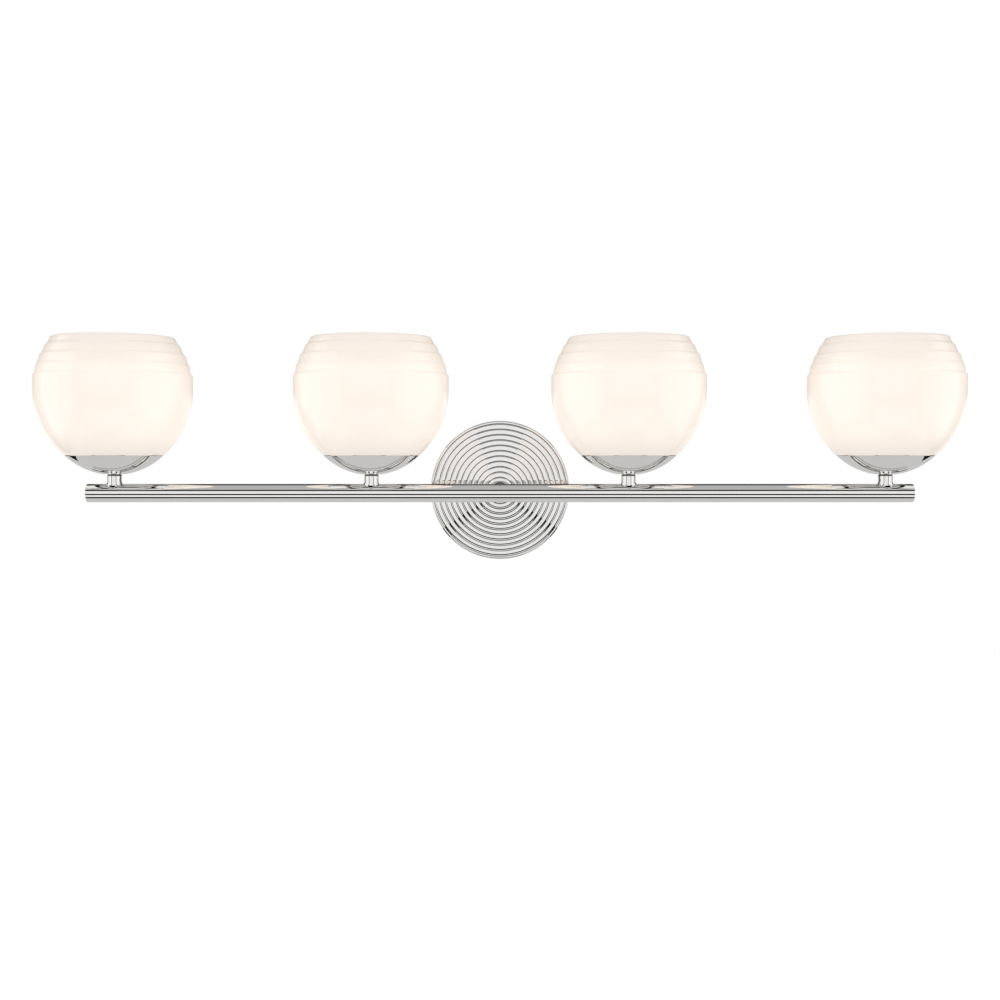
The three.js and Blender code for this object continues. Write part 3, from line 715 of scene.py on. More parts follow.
@dataclass(frozen=True)
class GrooveShadedPlate(Finish):
    """Plate over round ribs about the Y axis, with painted shade: dark lines in the grooves.

    `start` and `pitch` place the grooves, `groove_shade_band` is how far from a groove its painted shade
    begins and ends to fade, `fade` and `weight` make the painted shade weaker towards the lowest ribs,
    and `edge` and `skin` place the cone that parts the outside from the inside.
    """

    start: float = 0.0075
    pitch: float = 0.005
    groove_shade_band: tuple[float, float] = (0.00024, 0.00048)
    fade: tuple[float, float] = (-0.055, -0.02)
    weight: tuple[float, float] = (0.45, 0.95)
    edge: float = 0.0625
    skin: tuple[float, float] = (-0.0212, -0.012)
    # colour of the painted shade in the grooves
    dark: Colour = (0.04, 0.04, 0.042)

    def painted_hollow_shade(self, graph: Graph, colour: Socket) -> Socket:
        """Paints shade: darkens the colour where the distance from the nearest groove is small.

        The distance from the Y axis, less the first groove's radius, runs to and fro between
        nought and half a pitch. The lines are weaker towards the lowest ribs, and stay on the
        outside: in front of a cone halfway through the plate.

        Args:
            graph: The material's tree.
            colour: The colour of the bare plate.

        Returns:
            The colour with its painted shade lines.
        """
        x, y, z = graph.parts(graph.place())
        radius = graph.maths("SQRT", graph.maths("ADD", graph.product(x, x), graph.product(z, z)))
        away = graph.maths("PINGPONG", graph.maths("SUBTRACT", radius, self.start), self.pitch / 2)
        # painted shade: a dark band at each groove, weaker on the lowest ribs, on the outside only
        groove_shade_band = graph.span(away, *self.groove_shade_band, 1.0, 0.0)
        weight = graph.span(z, *self.fade, *self.weight)
        outside = graph.larger(graph.span(radius, self.start, self.edge, *self.skin), y)
        return graph.blend(graph.product(groove_shade_band, weight, outside), colour, self.dark)


POLISHED = Finish(
    "polished_nickel_plate", "polished_nickel", (0.90, 0.895, 0.885), (0.87, 0.862, 0.848),
    metallic=1.0, roughness=(0.008, 0.022), broad=18.0, fine=2600.0, relief=0.02, depth=0.00001,
)
# polished nickel with painted shade lines in the canopy's grooves
RIBBED = GrooveShadedPlate(
    "ribbed_nickel_plate", "polished_nickel", POLISHED.colour, POLISHED.shade,
    metallic=1.0, roughness=POLISHED.roughness, broad=18.0, fine=2600.0, relief=0.02, depth=0.00001,
)
ZINC = Finish(
    "zinc_plated_steel", "zinc_steel", (0.66, 0.67, 0.68), (0.52, 0.53, 0.52),
    metallic=1.0, roughness=(0.24, 0.42), grain=Grain.SPANGLE, broad=260.0, fine=2200.0, relief=0.12,
)
GREEN = Finish(
    "green_passivated_steel", "earth_green", (0.05, 0.30, 0.12), (0.12, 0.38, 0.16),
    metallic=0.75, roughness=(0.3, 0.45), broad=300.0, fine=2500.0, relief=0.1,
)
COPPER = Finish(
    "bare_copper", "bare_copper", (0.78, 0.42, 0.26), (0.62, 0.30, 0.18),
    metallic=1.0, roughness=(0.22, 0.4), broad=220.0, fine=3000.0, relief=0.12,
)
OPAL = LitGlass(
    "opal_glass", "opal_glass", (0.86, 0.83, 0.79), (0.84, 0.81, 0.77),
    roughness=(0.16, 0.2), broad=30.0, fine=700.0, relief=0.01, depth=0.00002,
    lit=(1.0, 0.852, 0.735), strength=0.54,
    foot=(0.0325, 0.052), crown=(0.104, 0.136), dim=(0.7, 0.8),
)
FROSTED = LitGlass(
    "frosted_lamp_glass", "frosted_lamp", (0.9, 0.88, 0.84), (0.86, 0.84, 0.8),
    roughness=(0.35, 0.5), broad=300.0, fine=4000.0, relief=0.08,
    lit=(1.0, 0.82, 0.58), strength=0.45, foot=(0.055, 0.062), crown=(0.088, 0.093), dim=(0.45, 0.8),
)
CERAMIC = Finish(
    "steatite_ceramic", "ceramic", (0.80, 0.77, 0.69), (0.72, 0.68, 0.6),
    roughness=(0.45, 0.65), broad=160.0, fine=2200.0, relief=0.25, translucent=0.1,
)
LAMP_BASE = Finish(
    "lamp_base_ceramic", "lamp_base", (0.86, 0.85, 0.81), (0.8, 0.79, 0.74),
    roughness=(0.28, 0.4), broad=200.0, fine=2400.0, relief=0.1,
)
SILICONE = Finish(
    "milky_silicone", "silicone", (0.74, 0.75, 0.74), (0.68, 0.69, 0.68),
    roughness=(0.55, 0.7), broad=120.0, fine=1500.0, relief=0.2, translucent=0.3,
)
BLACK_SLEEVE = Finish(
    "black_insulation", "black_insulation", (0.018, 0.018, 0.02), (0.03, 0.03, 0.032),
    roughness=(0.35, 0.5), broad=300.0, fine=2600.0, relief=0.1,
)
WHITE_SLEEVE = Finish(
    "white_insulation", "white_insulation", (0.8, 0.79, 0.75), (0.72, 0.71, 0.66),
    roughness=(0.35, 0.5), broad=300.0, fine=2600.0, relief=0.1,
)
# black for the ring under each stem's neck: painted shadow at the joint between post and neck
PAINTED_SHADOW = Finish(
    "painted_shadow_black", "black_insulation", (0.012, 0.012, 0.013), (0.02, 0.02, 0.021),
    roughness=(0.5, 0.65), broad=300.0, fine=2600.0, relief=0.1,
)
CONNECTOR = Finish(
    "connector_plastic", "connector_plastic", (0.82, 0.34, 0.05), (0.74, 0.29, 0.04),
    roughness=(0.38, 0.5), broad=200.0, fine=2400.0, relief=0.15, translucent=0.05,
)


class Shelf:
    """Keeps one material of each finish."""

    made: dict[str, bpy.types.Material] = {}

    @classmethod
    def material(cls, finish: Finish) -> bpy.types.Material:
        """The finish's material, made when it is first asked for.

        Args:
            finish: The finish that is asked for.

        Returns:
            Its one material.
        """
        if finish.label not in cls.made:
            cls.made[finish.label] = finish.build()
        return cls.made[finish.label]


# ---------------------------------------------------------------- pieces


@dataclass(frozen=True)
class Space:
    """The box that a CAD node takes up, in millimetres."""

    low: np.ndarray
    high: np.ndarray

    @classmethod
    def of(cls, node: str) -> "Space":
        """The space of a node."""
        low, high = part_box(node)
        return cls(np.array(low) / MM, np.array(high) / MM)

    @property
    def middle(self) -> np.ndarray:
        """The box's centre."""
        return (self.low + self.high) / 2

    @property
    def radius(self) -> float:
        """Half the box's width along X, which is the radius of a turned piece."""
        return (self.high[0] - self.low[0]) / 2

    @property
    def tall(self) -> tuple[float, float]:
        """Lowest and highest height."""
        return self.low[2], self.high[2]

    @property
    def deep(self) -> tuple[float, float]:
        """Least and greatest distance in front of the wall."""
        return -self.high[1], -self.low[1]


def new_object(name: str, data: bpy.types.ID) -> bpy.types.Object:
    """Makes an object in the scene."""
    made = bpy.data.objects.new(name, data)
    bpy.context.scene.collection.objects.link(made)
    return made


def wear(mesh: bpy.types.Mesh, finish: Finish) -> None:
    """Gives a mesh the material of a finish and no other."""
    mesh.materials.clear()
    mesh.materials.append(Shelf.material(finish))


def carve(mesh: bpy.types.Mesh, tools: Sequence[Shape]) -> bpy.types.Mesh:
    """Cuts closed shapes out of a mesh.

    Args:
        mesh: The closed mesh to cut.
        tools: What is taken away.

    Returns:
        A new mesh with what is left.
    """
    body = new_object("carve_body", mesh)
    cutter = new_object("carve_tool", tools[0].joined(*tools[1:]).mesh("carve_tool"))
    modifier = body.modifiers.new("cut", "BOOLEAN")
    modifier.operation = "DIFFERENCE"
    modifier.solver = "EXACT"
    modifier.object = cutter
    graph = bpy.context.evaluated_depsgraph_get()
    result = bpy.data.meshes.new_from_object(body.evaluated_get(graph))
    result.name = mesh.name
    for made in (body, cutter):
        bpy.data.objects.remove(made)
    cleaner = bmesh.new()
    cleaner.from_mesh(result)
    bmesh.ops.dissolve_degenerate(cleaner, dist=CLEAN_GAP, edges=cleaner.edges)
    cleaner.to_mesh(result)
    cleaner.free()
    result.polygons.foreach_set("use_smooth", np.ones(len(result.polygons), bool))
    result.set_sharp_from_angle(angle=SHARP_ANGLE)
    return result


def place_piece(
    name: str,
    shape: Shape,
    finish: Finish,
    body: str,
    stands_for: Sequence[str],
    tools: Sequence[Shape] = (),
) -> bpy.types.Object:
    """Makes a piece that rides on a CAD body in the place of CAD nodes.

    Args:
        name: The piece's name.
        shape: Its surface, in the row frame.
        finish: What it is finished in.
        body: The CAD body that carries it.
        stands_for: The CAD nodes that it replaces.
        tools: Shapes cut out of it.

    Returns:
        The new object.
    """
    mesh = shape.mesh(name)
    if tools:
        mesh = carve(mesh, tools)
    wear(mesh, finish)
    piece = new_object(name, mesh)
    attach(piece, body)
    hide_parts(*stands_for)
    LOG.info("%s: %d faces on %s", name, len(mesh.polygons), body)
    return piece


def dress_node(node: str, finish: Finish) -> None:
    """Gives a CAD node that stays in view its material."""
    wear(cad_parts[node].data, finish)
    LOG.info("%s: CAD node in %s", node, finish.label)


@dataclass
class Bar:
    """The round tube between the stems, with a cap in each end."""

    wall: float = 1.2
    edge: float = 0.3
    crisp: float = 0.04
    seam: float = 0.27
    cap_disc: float = 2.0
    wire_hole: float = 4.4
    stem_reach: float = 10.0
    arm_reach: float = 9.0
    facets: int = 128

    def build(self, lights: int) -> None:
        """Builds the tube and the caps.

        Args:
            lights: How many stems stand on the tube.
        """
        space = Space.of("bar_tube")
        radius = (space.high[2] - space.low[2]) / 2
        y, bore = space.middle[1], radius - self.wall
        low, high = space.low[0] - self.seam, space.high[0] + self.seam
        places = [Space.of(f"stem_{number}").middle[0] for number in range(1, lights + 1)]
        holes = [(x, self.stem_reach) for x in places] + [(0.0, self.arm_reach)]
        rings = [x + side * reach for x, reach in holes for side in (-1, 1)]
        stops = np.sort([low + self.edge + BREAK, high - self.edge - BREAK, *rings])
        corners = np.vstack([
            [[bore, low, BREAK], [radius, low, self.crisp]], upright(radius, stops),
            [[radius, high, self.crisp], [bore, high, BREAK]], upright(bore, stops[::-1]),
        ])
        tube = ring(corners, self.facets).facing(Axis.RIGHT).moved(y=y)
        drills = [self.drill(NIPPLE_HOLE, radius).moved(x, y) for x in places]
        drills.append(self.drill(self.wire_hole, radius).facing(Axis.FRONT).moved(y=y + radius + 1))
        place_piece("bar_shell", tube, POLISHED, "frame", ["bar_tube"], drills)
        for side in SIDES:
            self.build_cap(side, radius, bore - FIT, y)

    def drill(self, hole: float, radius: float) -> Shape:
        """A plain rod from the bar's axis to past its surface, to cut a hole with."""
        return rod(hole, 0, radius + 1, DRILL_FACETS)

    def build_cap(self, side: str, radius: float, spigot: float, y: float) -> None:
        """Builds one end cap: a flat disc with a softened edge, on a spigot.

        Args:
            side: Which end it closes.
            radius: Radius of the tube.
            spigot: Radius of the part inside the tube.
            y: Place of the tube's axis.
        """
        space = Space.of(f"end_cap_{side}")
        start, end = sorted((abs(space.low[0]), abs(space.high[0])))
        inner = end - self.cap_disc
        corners = [
            [0, start, 0], [spigot, start, 0.5], [spigot, inner, BREAK],
            [radius, inner, self.crisp], [radius, end, self.edge], [0, end, 0],
        ]
        cap = ring(corners, self.facets).facing(Axis[side.upper()]).moved(y=y)
        place_piece(f"bar_end_{side}", cap, POLISHED, "frame", [f"end_cap_{side}"])


@dataclass
class Canopy:
    """The stepped round canopy, its two side screws and the short arm in front of it."""

    wall: float = 1.2
    rim_depth: float = 13.0
    boss: float = 7.5
    pitch: float = 5.0
    rib_tilt: tuple[float, float] = (0.1, 30.0)
    rib_lift: float = 0.1
    rib_points: int = 19
    groove: float = 0.55
    boss_thickness: float = 2.9
    nut_seat: float = 12.1
    screw_shank: float = 1.9
    screw_hole: float = 2.2
    screw_head: float = 2.2
    slot_width: float = 0.9
    nut_flange: float = 1.5
    hole_facets: int = 32
    facets: int = 192

    def build(self) -> None:
        """Builds the dome, the screws, the arm, its nipple and its nut."""
        space = Space.of("canopy")
        radius, depth = space.radius, space.high[1] - space.low[1]
        dome = self.dome(radius, depth)
        place_piece("canopy_dome", dome, RIBBED, "frame", ["canopy"], self.side_holes(radius))
        for side in SIDES:
            self.build_screw(side)
        self.build_arm()

    def ribs(self, radius: float) -> int:
        """How many ribs fit between the boss and the rim's bead."""
        return round((radius - self.boss - self.pitch / 2) / self.pitch)

    def rib_rows(self, radius: float, depth: float) -> np.ndarray:
        """Points over the ribs, from the rim inwards.

        The surface leaves each groove almost flat, and its tilt grows with the sixth power of the
        share of the rib's width. Its height falls by the sum of the tilt's tangent, stretched so
        that every rib drops by the same amount.

        Args:
            radius: Radius of the canopy.
            depth: Distance of the boss from the wall.

        Returns:
            Corners without fillets.
        """
        count = self.ribs(radius)
        drop = (depth - self.rim_depth) / (count + 1)
        share = np.linspace(0, 1, self.rib_points)
        low, high = np.radians(self.rib_tilt)
        slope = np.tan(low + (high - low) * share**6)
        fall = np.concatenate([[0.0], np.cumsum((slope[1:] + slope[:-1]) / 2)])
        rib = np.arange(count)[:, None]
        places = self.boss + self.pitch * (rib + share)
        heights = depth + self.rib_lift - drop * (rib + 1 + fall / fall[-1])
        return plain(np.stack([places, heights], axis=2).reshape(-1, 2)[::-1])

    def dome(self, radius: float, depth: float) -> Shape:
        """The pressed shell: skirt, edge bead, steps, boss and the plain inside.

        Args:
            radius: Radius of the canopy.
            depth: Distance of the boss from the wall.

        Returns:
            The closed shell.
        """
        outer = self.boss + self.pitch * self.ribs(radius)
        bead, inner = radius - outer, radius - self.wall
        back = depth - self.boss_thickness
        corners = np.vstack([
            [[inner, 0, 0.2], [radius, 0, 0.3], [radius, self.rim_depth, bead * 0.48]],
            [[outer + 0.15, self.rim_depth - 0.1, BREAK]],
            self.rib_rows(radius, depth),
            [[self.boss - 0.1, depth, 0.25], [NIPPLE_HOLE, depth, 0.2], [NIPPLE_HOLE, back, 0.2]],
            [[self.nut_seat, back, 0.5], [inner, self.rim_depth - 2 * self.groove - self.wall, 1.0]],
        ])
        return ring(corners, self.facets).facing(Axis.FRONT)

    def side_holes(self, radius: float) -> list[Shape]:
        """Rods that cut the holes for the side screws.

        Args:
            radius: Radius of the canopy.

        Returns:
            One rod for each side.
        """
        holes = []
        for side in SIDES:
            _, y, z = Space.of(f"canopy_screw_{side}").middle
            hole = rod(self.screw_hole, radius - 6, radius + 3, self.hole_facets)
            holes.append(hole.facing(Axis[side.upper()]).moved(y=y, z=z))
        return holes

    def build_screw(self, side: str) -> None:
        """Builds one side screw: a domed, slotted head and a plain shank.

        Args:
            side: Which side of the canopy it is on.
        """
        name = f"canopy_screw_{side}"
        space = Space.of(name)
        inner, outer = sorted((abs(space.low[0]), abs(space.high[0])))
        seat, shank = outer - self.screw_head, self.screw_shank
        head = (space.high[2] - space.low[2]) / 2
        corners = [
            [0, inner, 0], [shank, inner, 0.4], [shank, seat, BREAK], [head, seat, 0.15],
            [head, seat + 1.0, 0.9], [head * 0.45, outer, 1.5], [0, outer, 0],
        ]
        y, z = space.middle[1:]
        screw = ring(corners, SMALL_FACETS).facing(Axis[side.upper()]).moved(y=y, z=z)
        face, half = (-outer if side == "left" else outer), self.slot_width / 2
        slot = box([face - 1, -5, -half], [face + 1, 5, half]).moved(y=y, z=z)
        place_piece(f"side_screw_{side}", screw, POLISHED, "frame", [name], [slot])

    def build_arm(self) -> None:
        """Builds the arm, whose end follows the bar's back, with its nipple and its flanged nut."""
        bar, space = Space.of("bar_tube"), Space.of("centre_arm")
        pipe = (bar.high[2] - bar.low[2]) / 2 + FIT
        start, flare = space.deep[0], space.radius
        radius, crest = flare - 0.8, -bar.middle[1] - pipe
        corners = [
            [NIPPLE_HOLE, start, 0.2], [flare, start, 0.3], [flare, start + 0.6, 0.5],
            [radius, start + 3, 3.0], [radius, crest - 4, 0], [radius, crest, 0.15],
            [NIPPLE_HOLE, crest, 0.15],
        ]
        arm = ring(corners, ripple=saddle(pipe, crest, crest - 4, 1.0))
        nut = Space.of("arm_nut")
        for name, shape, finish, node in (
            ("arm_post", arm, POLISHED, "centre_arm"),
            ("arm_nipple_thread", nipple(*Space.of("arm_nipple").deep), ZINC, "arm_nipple"),
            ("arm_nut_flanged", flanged_nut(*nut.deep, nut.radius, self.nut_flange), ZINC, "arm_nut"),
        ):
            place_piece(name, shape.facing(Axis.FRONT), finish, "frame", [node])


def nipple(low: float, high: float, pitch: float = 1.0) -> Shape:
    """A tube threaded outside, along +Z.

    Args:
        low: Height of the lower end.
        high: Height of the upper end.
        pitch: Height of one turn.

    Returns:
        The closed shape.
    """
    bore, radius, chamfer = NIPPLE_BORE, NIPPLE_RADIUS, 0.4
    corners = np.vstack([
        [[bore, low, BREAK], [radius - chamfer, low, BREAK], [radius, low + chamfer, BREAK]],
        upright(radius, np.arange(low + pitch, high - pitch, pitch / 8)),
        [[radius, high - chamfer, BREAK], [radius - chamfer, high, BREAK], [bore, high, BREAK]],
    ])
    return ring(corners, SMALL_FACETS, threads(radius, 0.35, pitch, low + 0.6, high - 0.6))


def plain_nut(low: float, high: float, corner: float) -> Shape:
    """A hexagon nut along +Z with worn corners.

    Args:
        low: Height of the lower face.
        high: Height of the upper face.
        corner: Distance of a corner from the axis.

    Returns:
        The closed shape.
    """
    bore, chamfer = NIPPLE_HOLE, 0.3
    flat = corner * math.cos(math.pi / 6)
    corners = np.vstack([
        [[bore, low + chamfer, 0], [bore + chamfer, low, 0], [corner, low, 0]],
        upright(corner, np.linspace(low + 0.1, high - 0.1, 12)),
        [[corner, high, 0], [bore + chamfer, high, 0], [bore, high - chamfer, 0]],
    ])
    return ring(corners, NUT_FACETS, hexagonal(flat, corner, 0.5, low, high))


def flanged_nut(low: float, high: float, flange: float, thickness: float) -> Shape:
    """A hexagon nut whose upper face is a round flange.

    Args:
        low: Height of the lower face.
        high: Height of the flange's face.
        flange: Radius of the flange.
        thickness: Thickness of the flange.

    Returns:
        The closed shape.
    """
    bore, under = NIPPLE_HOLE + 0.05, high - thickness
    top = [[bore, under, BREAK], [flange, under, 0.3], [flange, high, 0.4], [bore, high, BREAK]]
    return plain_nut(low, high - thickness / 2, flange - 2.0).joined(ring(top))


@dataclass
class Globe:
    """The opal shade: a flat floor, a half-ellipse below the widest line and four tiers above it."""

    wall: float = 3.0
    hole: float = 13.3
    seat: float = 57.1
    seat_height: float = 75.29
    shoulder: float = 33.8
    shoulder_radius: float = 42.9
    floor: float = 25.4
    floor_reach: float = 18.25
    widest: float = 91.0
    crown_depth: float = 69.0
    tier_start: float = 104.4
    tier_pitch: float = 8.6
    tier_lean: float = 0.6
    tier_edge: float = 1.4
    tiers: int = 4
    facets: int = 192

    def tier_corners(self, radius: float, top: float) -> np.ndarray:
        """Foot and top of each tier, from the lowest up.

        A tier's middle lies on the crown's ellipse, and it leans in by a share of what the ellipse
        narrows over it.

        Args:
            radius: Radius at the widest line.
            top: Height of the lip.

        Returns:
            Rows of radius, height and fillet radius.
        """
        foot = self.tier_start + self.tier_pitch * np.arange(self.tiers)
        end = np.append(foot[1:], top)

        def on_crown(z: np.ndarray) -> np.ndarray:
            """Radius of the crown's ellipse at a height."""
            return radius * np.sqrt(1 - ((z - self.widest) / self.crown_depth) ** 2)

        middle = on_crown((foot + end) / 2)
        lean = self.tier_lean * (on_crown(foot) - on_crown(end)) / 2
        edge = np.append(end[:-1] - self.tier_edge, end[-1])
        feet = np.column_stack([middle + lean, foot, np.full(self.tiers, 0.4)])
        tops = np.column_stack([middle - lean, edge, np.full(self.tiers, 2.0)])
        tops[-1, 2] = 2.3
        return np.stack([feet, tops], axis=1).reshape(-1, 3)

    def inside(self, points: np.ndarray, radius: float) -> np.ndarray:
        """Marks the points of the hollow with 1 and all others with 0.

        The border is halfway through the wall: half-ellipses about the widest line, one above it
        and one below it.

        Args:
            points: The globe's points about +Z.
            radius: Radius at the widest line.

        Returns:
            One number for each point.
        """
        inner = radius - self.wall
        outer_depth = (self.widest - self.shoulder) / math.sqrt(1 - (self.shoulder_radius / radius) ** 2)
        inner_depth = (self.widest - self.floor) / math.sqrt(1 - (self.floor_reach / inner) ** 2)
        above = points[:, 2] > self.widest
        depth = np.where(above, self.crown_depth - self.wall / 4, (outer_depth + inner_depth) / 2)
        share = np.clip(1 - ((points[:, 2] - self.widest) / depth) ** 2, 0, 1)
        return (np.hypot(points[:, 0], points[:, 1]) < (radius + inner) / 2 * np.sqrt(share)).astype(float)

    def shape(self, radius: float, bottom: float, top: float) -> Shape:
        """The globe about +Z.

        Args:
            radius: Radius at the widest line.
            bottom: Height of the underside.
            top: Height of the lip.

        Returns:
            The closed shape.
        """
        inner = radius - self.wall
        depth = (self.widest - self.shoulder) / math.sqrt(1 - (self.shoulder_radius / radius) ** 2)
        hollow = (self.widest - self.floor) / math.sqrt(1 - (self.floor_reach / inner) ** 2)
        tiers = self.tier_corners(radius, top)
        lip = tiers[-1, 0]
        crown = self.crown_depth - self.wall / 2
        corners = np.vstack([
            [[self.hole, bottom, 0.5]],
            plain(ellipse_run(self.seat, self.seat, self.seat_height, bottom, self.shoulder - 0.4, 14)),
            [[self.shoulder_radius - 0.1, self.shoulder, 0.25]],
            plain(ellipse_run(radius, depth, self.widest, self.shoulder + 0.4, self.widest, 40)),
            [[radius, self.tier_start - self.tier_edge, 1.5]],
            tiers,
            [[lip - self.wall, top, 0.5]],
            plain(ellipse_run(inner, crown, self.widest, top - 4.0, self.widest, 24)),
            plain(ellipse_run(inner, hollow, self.widest, self.widest - 1, self.floor, 30)),
            [[self.hole, self.floor, 0.5]],
        ])
        return ring(corners, self.facets)


@dataclass
class Light:
    """One light: stem, cup, fixings, lamp holder, lamp and globe."""

    number: int
    globe: Globe = field(default_factory=Globe)
    neck_step: float = 0.7
    neck_height: float = 1.05
    # height of the black ring that paints the shadow under the neck
    seal: float = 0.8
    cup_sphere: float = 59.5
    cup_wall: float = 1.0
    cup_height: float = 75.29
    pad_wall: float = 0.8
    sleeve: float = 12.0
    sleeve_bore: float = 10.6
    sleeve_pitch: float = 1.5
    holder: float = 10.3
    slot: tuple[float, float, float] = (2.0, 0.9, 7.7)
    pin: tuple[float, float] = (1.5, 0.4)
    ring_bore: float = 12.35
    knurls: int = 64
    knurl_depth: float = 0.25

    def name(self, stem: str) -> str:
        """A piece or node name with the light's number."""
        return f"{stem}_{self.number}"

    def space(self, node: str) -> Space:
        """The space of one of the light's own nodes."""
        return Space.of(self.name(node))

    def build(self) -> None:
        """Builds every piece of the light."""
        self.x, self.y = self.space("stem").middle[:2]
        self.build_stem()
        self.build_cup()
        self.build_fixings()
        self.build_holder()
        self.build_globe()
        self.build_lamp()

    def add(
        self, name: str, shape: Shape, finish: Finish, body: str, node: str, tools: Sequence[Shape] = ()
    ) -> bpy.types.Object:
        """Places a piece over the light's own axis and gives the object.

        Args:
            name: The piece's name without its number.
            shape: Its surface about +Z.
            finish: What it is finished in.
            body: The CAD body that carries it.
            node: The CAD node that it replaces, without its number.
            tools: Shapes cut out of it.

        Returns:
            The new object.
        """
        tools = [tool.moved(self.x, self.y) for tool in tools]
        shape = shape.moved(self.x, self.y)
        return place_piece(self.name(name), shape, finish, body, [self.name(node)], tools)

    def build_stem(self) -> None:
        """The stem: a flared foot that follows the bar, a plain post and a short narrower neck."""
        bar, space = Space.of("bar_tube"), self.space("stem")
        pipe = (bar.high[2] - bar.low[2]) / 2 + FIT
        foot, top, bore = space.radius, space.high[2], NIPPLE_HOLE
        radius = foot - 0.8
        neck, ledge = radius - self.neck_step, top - self.neck_height
        corners = [
            [bore, pipe, BREAK], [foot, pipe, BREAK], [foot, pipe + 0.15, 0.05],
            [radius + 0.2, pipe + 0.55, 0.3], [radius, pipe + 1.2, 0.5], [radius, ledge, BREAK],
            [neck, ledge, 0.05], [neck, top, BREAK], [bore, top, BREAK],
        ]
        stem = ring(corners, ripple=saddle(pipe, pipe, pipe + 1.8, -1.0))
        self.add("stem_post", stem, POLISHED, "frame", "stem")
        # A black ring in the step under the neck: painted shadow for the dark line where post and neck
        # meet.
        inner, outer, low, high = neck + 0.03, radius - 0.1, ledge + 0.02, ledge + self.seal
        seal = [[inner, low, 0.02], [outer, low, BREAK], [outer, high, BREAK], [inner, high, 0.02]]
        self.add("stem_seal", ring(seal), PAINTED_SHADOW, "frame", "stem")

    def build_cup(self) -> None:
        """The bowl: part of a sphere with a flat underside and a rounded rim."""
        bottom, rim = self.space("shade_cup").tall
        height, outer, floor = self.cup_height, self.cup_sphere, bottom + self.cup_wall
        inner = outer - self.cup_wall
        corners = np.vstack([
            [[NIPPLE_HOLE, bottom, BREAK]],
            plain(ellipse_run(outer, outer, height, bottom, rim - 0.8, 60)),
            [[math.sqrt(outer**2 - (height - rim) ** 2), rim, 0.4]],
            [[math.sqrt(inner**2 - (height - rim) ** 2), rim, 0.12]],
            plain(ellipse_run(inner, inner, height, rim - 0.3, floor, 60)),
            [[NIPPLE_HOLE, floor, BREAK]],
        ])
        self.add("cup_bowl", ring(corners, LARGE_FACETS), POLISHED, "frame", "shade_cup")

    def build_fixings(self) -> None:
        """The threaded nipple, its nut, the pad under the globe and the threaded sleeve."""
        nut = self.space("cup_nut")
        for name, shape, finish, node in (
            ("nipple_thread", nipple(*self.space("threaded_nipple").tall), ZINC, "threaded_nipple"),
            ("cup_nut_hex", plain_nut(*nut.tall, nut.radius), ZINC, "cup_nut"),
            ("pad_ring", self.pad(*self.space("cup_pad").tall), SILICONE, "cup_pad"),
            ("sleeve_thread", self.sleeve_tube(*self.space("socket_sleeve").tall), ZINC, "socket_sleeve"),
        ):
            self.add(name, shape, finish, "frame", node)

    def pad(self, low: float, high: float) -> Shape:
        """A soft ring between two spheres about the cup's centre.

        Args:
            low: Height of the lower edge.
            high: Height of the upper edge.

        Returns:
            The closed shape.
        """
        outer = self.cup_sphere - self.cup_wall - FIT
        inner = outer - self.pad_wall
        corners = np.vstack([
            plain(ellipse_run(outer, outer, self.cup_height, low + 0.35, high - 0.35, 16)),
            plain(ellipse_run(inner, inner, self.cup_height, high - 0.25, low + 0.45, 16)),
        ])
        return ring(corners, PAD_FACETS)

    def sleeve_tube(self, low: float, high: float) -> Shape:
        """A cup-shaped tube, threaded outside above a plain foot and drilled for the nipple.

        Args:
            low: Height of the underside.
            high: Height of the rim.

        Returns:
            The closed shape.
        """
        radius, bore, floor = self.sleeve, self.sleeve_bore, low + 2
        start, end = low + 4, high - 0.6
        corners = np.vstack([
            [[NIPPLE_HOLE, low, BREAK], [radius, low, 0.5]],
            upright(radius, np.arange(start, end, self.sleeve_pitch / 8)),
            [[radius, high - 0.5, BREAK], [radius - 0.4, high, BREAK], [bore, high, 0.2]],
            [[bore, floor, 0.5], [NIPPLE_HOLE, floor, BREAK]],
        ])
        return ring(corners, ripple=threads(radius, 0.5, self.sleeve_pitch, start, end))

    def build_holder(self) -> None:
        """The ceramic holder with two pin slots."""
        space = self.space("lamp_holder")
        (bottom, top), flange, radius = space.tall, space.radius, self.holder
        seat = top - 3.0
        corners = [
            [0, bottom, 0], [radius, bottom, 0.5], [radius, seat, 0.2], [flange, seat, 0.3],
            [flange, top, 0.6], [7.4, top, 0.3], [7.0, top - 0.5, 0.3], [0, top - 0.5, 0],
        ]
        wide, thick, deep = self.slot
        slots = [box([x - wide, -thick, top - deep], [x + wide, thick, top + 1]) for x in PIN_PLACES]
        self.add("holder_body", ring(corners), CERAMIC, "frame", "lamp_holder", slots)

    def build_globe(self) -> None:
        """The opal globe and the knurled ring that clamps it."""
        space, body = self.space("glass_shade"), self.name("shade")
        shape = self.globe.shape(space.radius, *space.tall)
        piece = self.add("opal_globe", shape, OPAL, body, "glass_shade")
        marks = piece.data.attributes.new(INSIDE, "FLOAT", "POINT")
        marks.data.foreach_set("value", self.globe.inside(shape.points, space.radius))
        space = self.space("shade_ring")
        (low, high), outer, bore = space.tall, space.radius, self.ring_bore
        corners = np.vstack([
            [[bore, low, 0.2], [outer - 0.5, low, BREAK], [outer, low + 0.5, BREAK]],
            upright(outer, np.linspace(low + 0.8, high - 0.8, 7)),
            [[outer, high - 0.5, BREAK], [outer - 0.5, high, BREAK], [bore + 0.6, high, BREAK]],
            [[bore, high - 0.6, BREAK]],
        ])

        def knurl(r: Grid, z: Grid, angle: Grid) -> Pair:
            """Straight knurling: the rim falls as a wave of the angle."""
            turns = self.knurls * angle / (2 * np.pi)
            return r - self.knurl_depth * dip(turns) * (r > outer - 0.1), z

        self.add("clamp_ring", ring(corners, 6 * self.knurls, knurl), ZINC, body, "shade_ring")

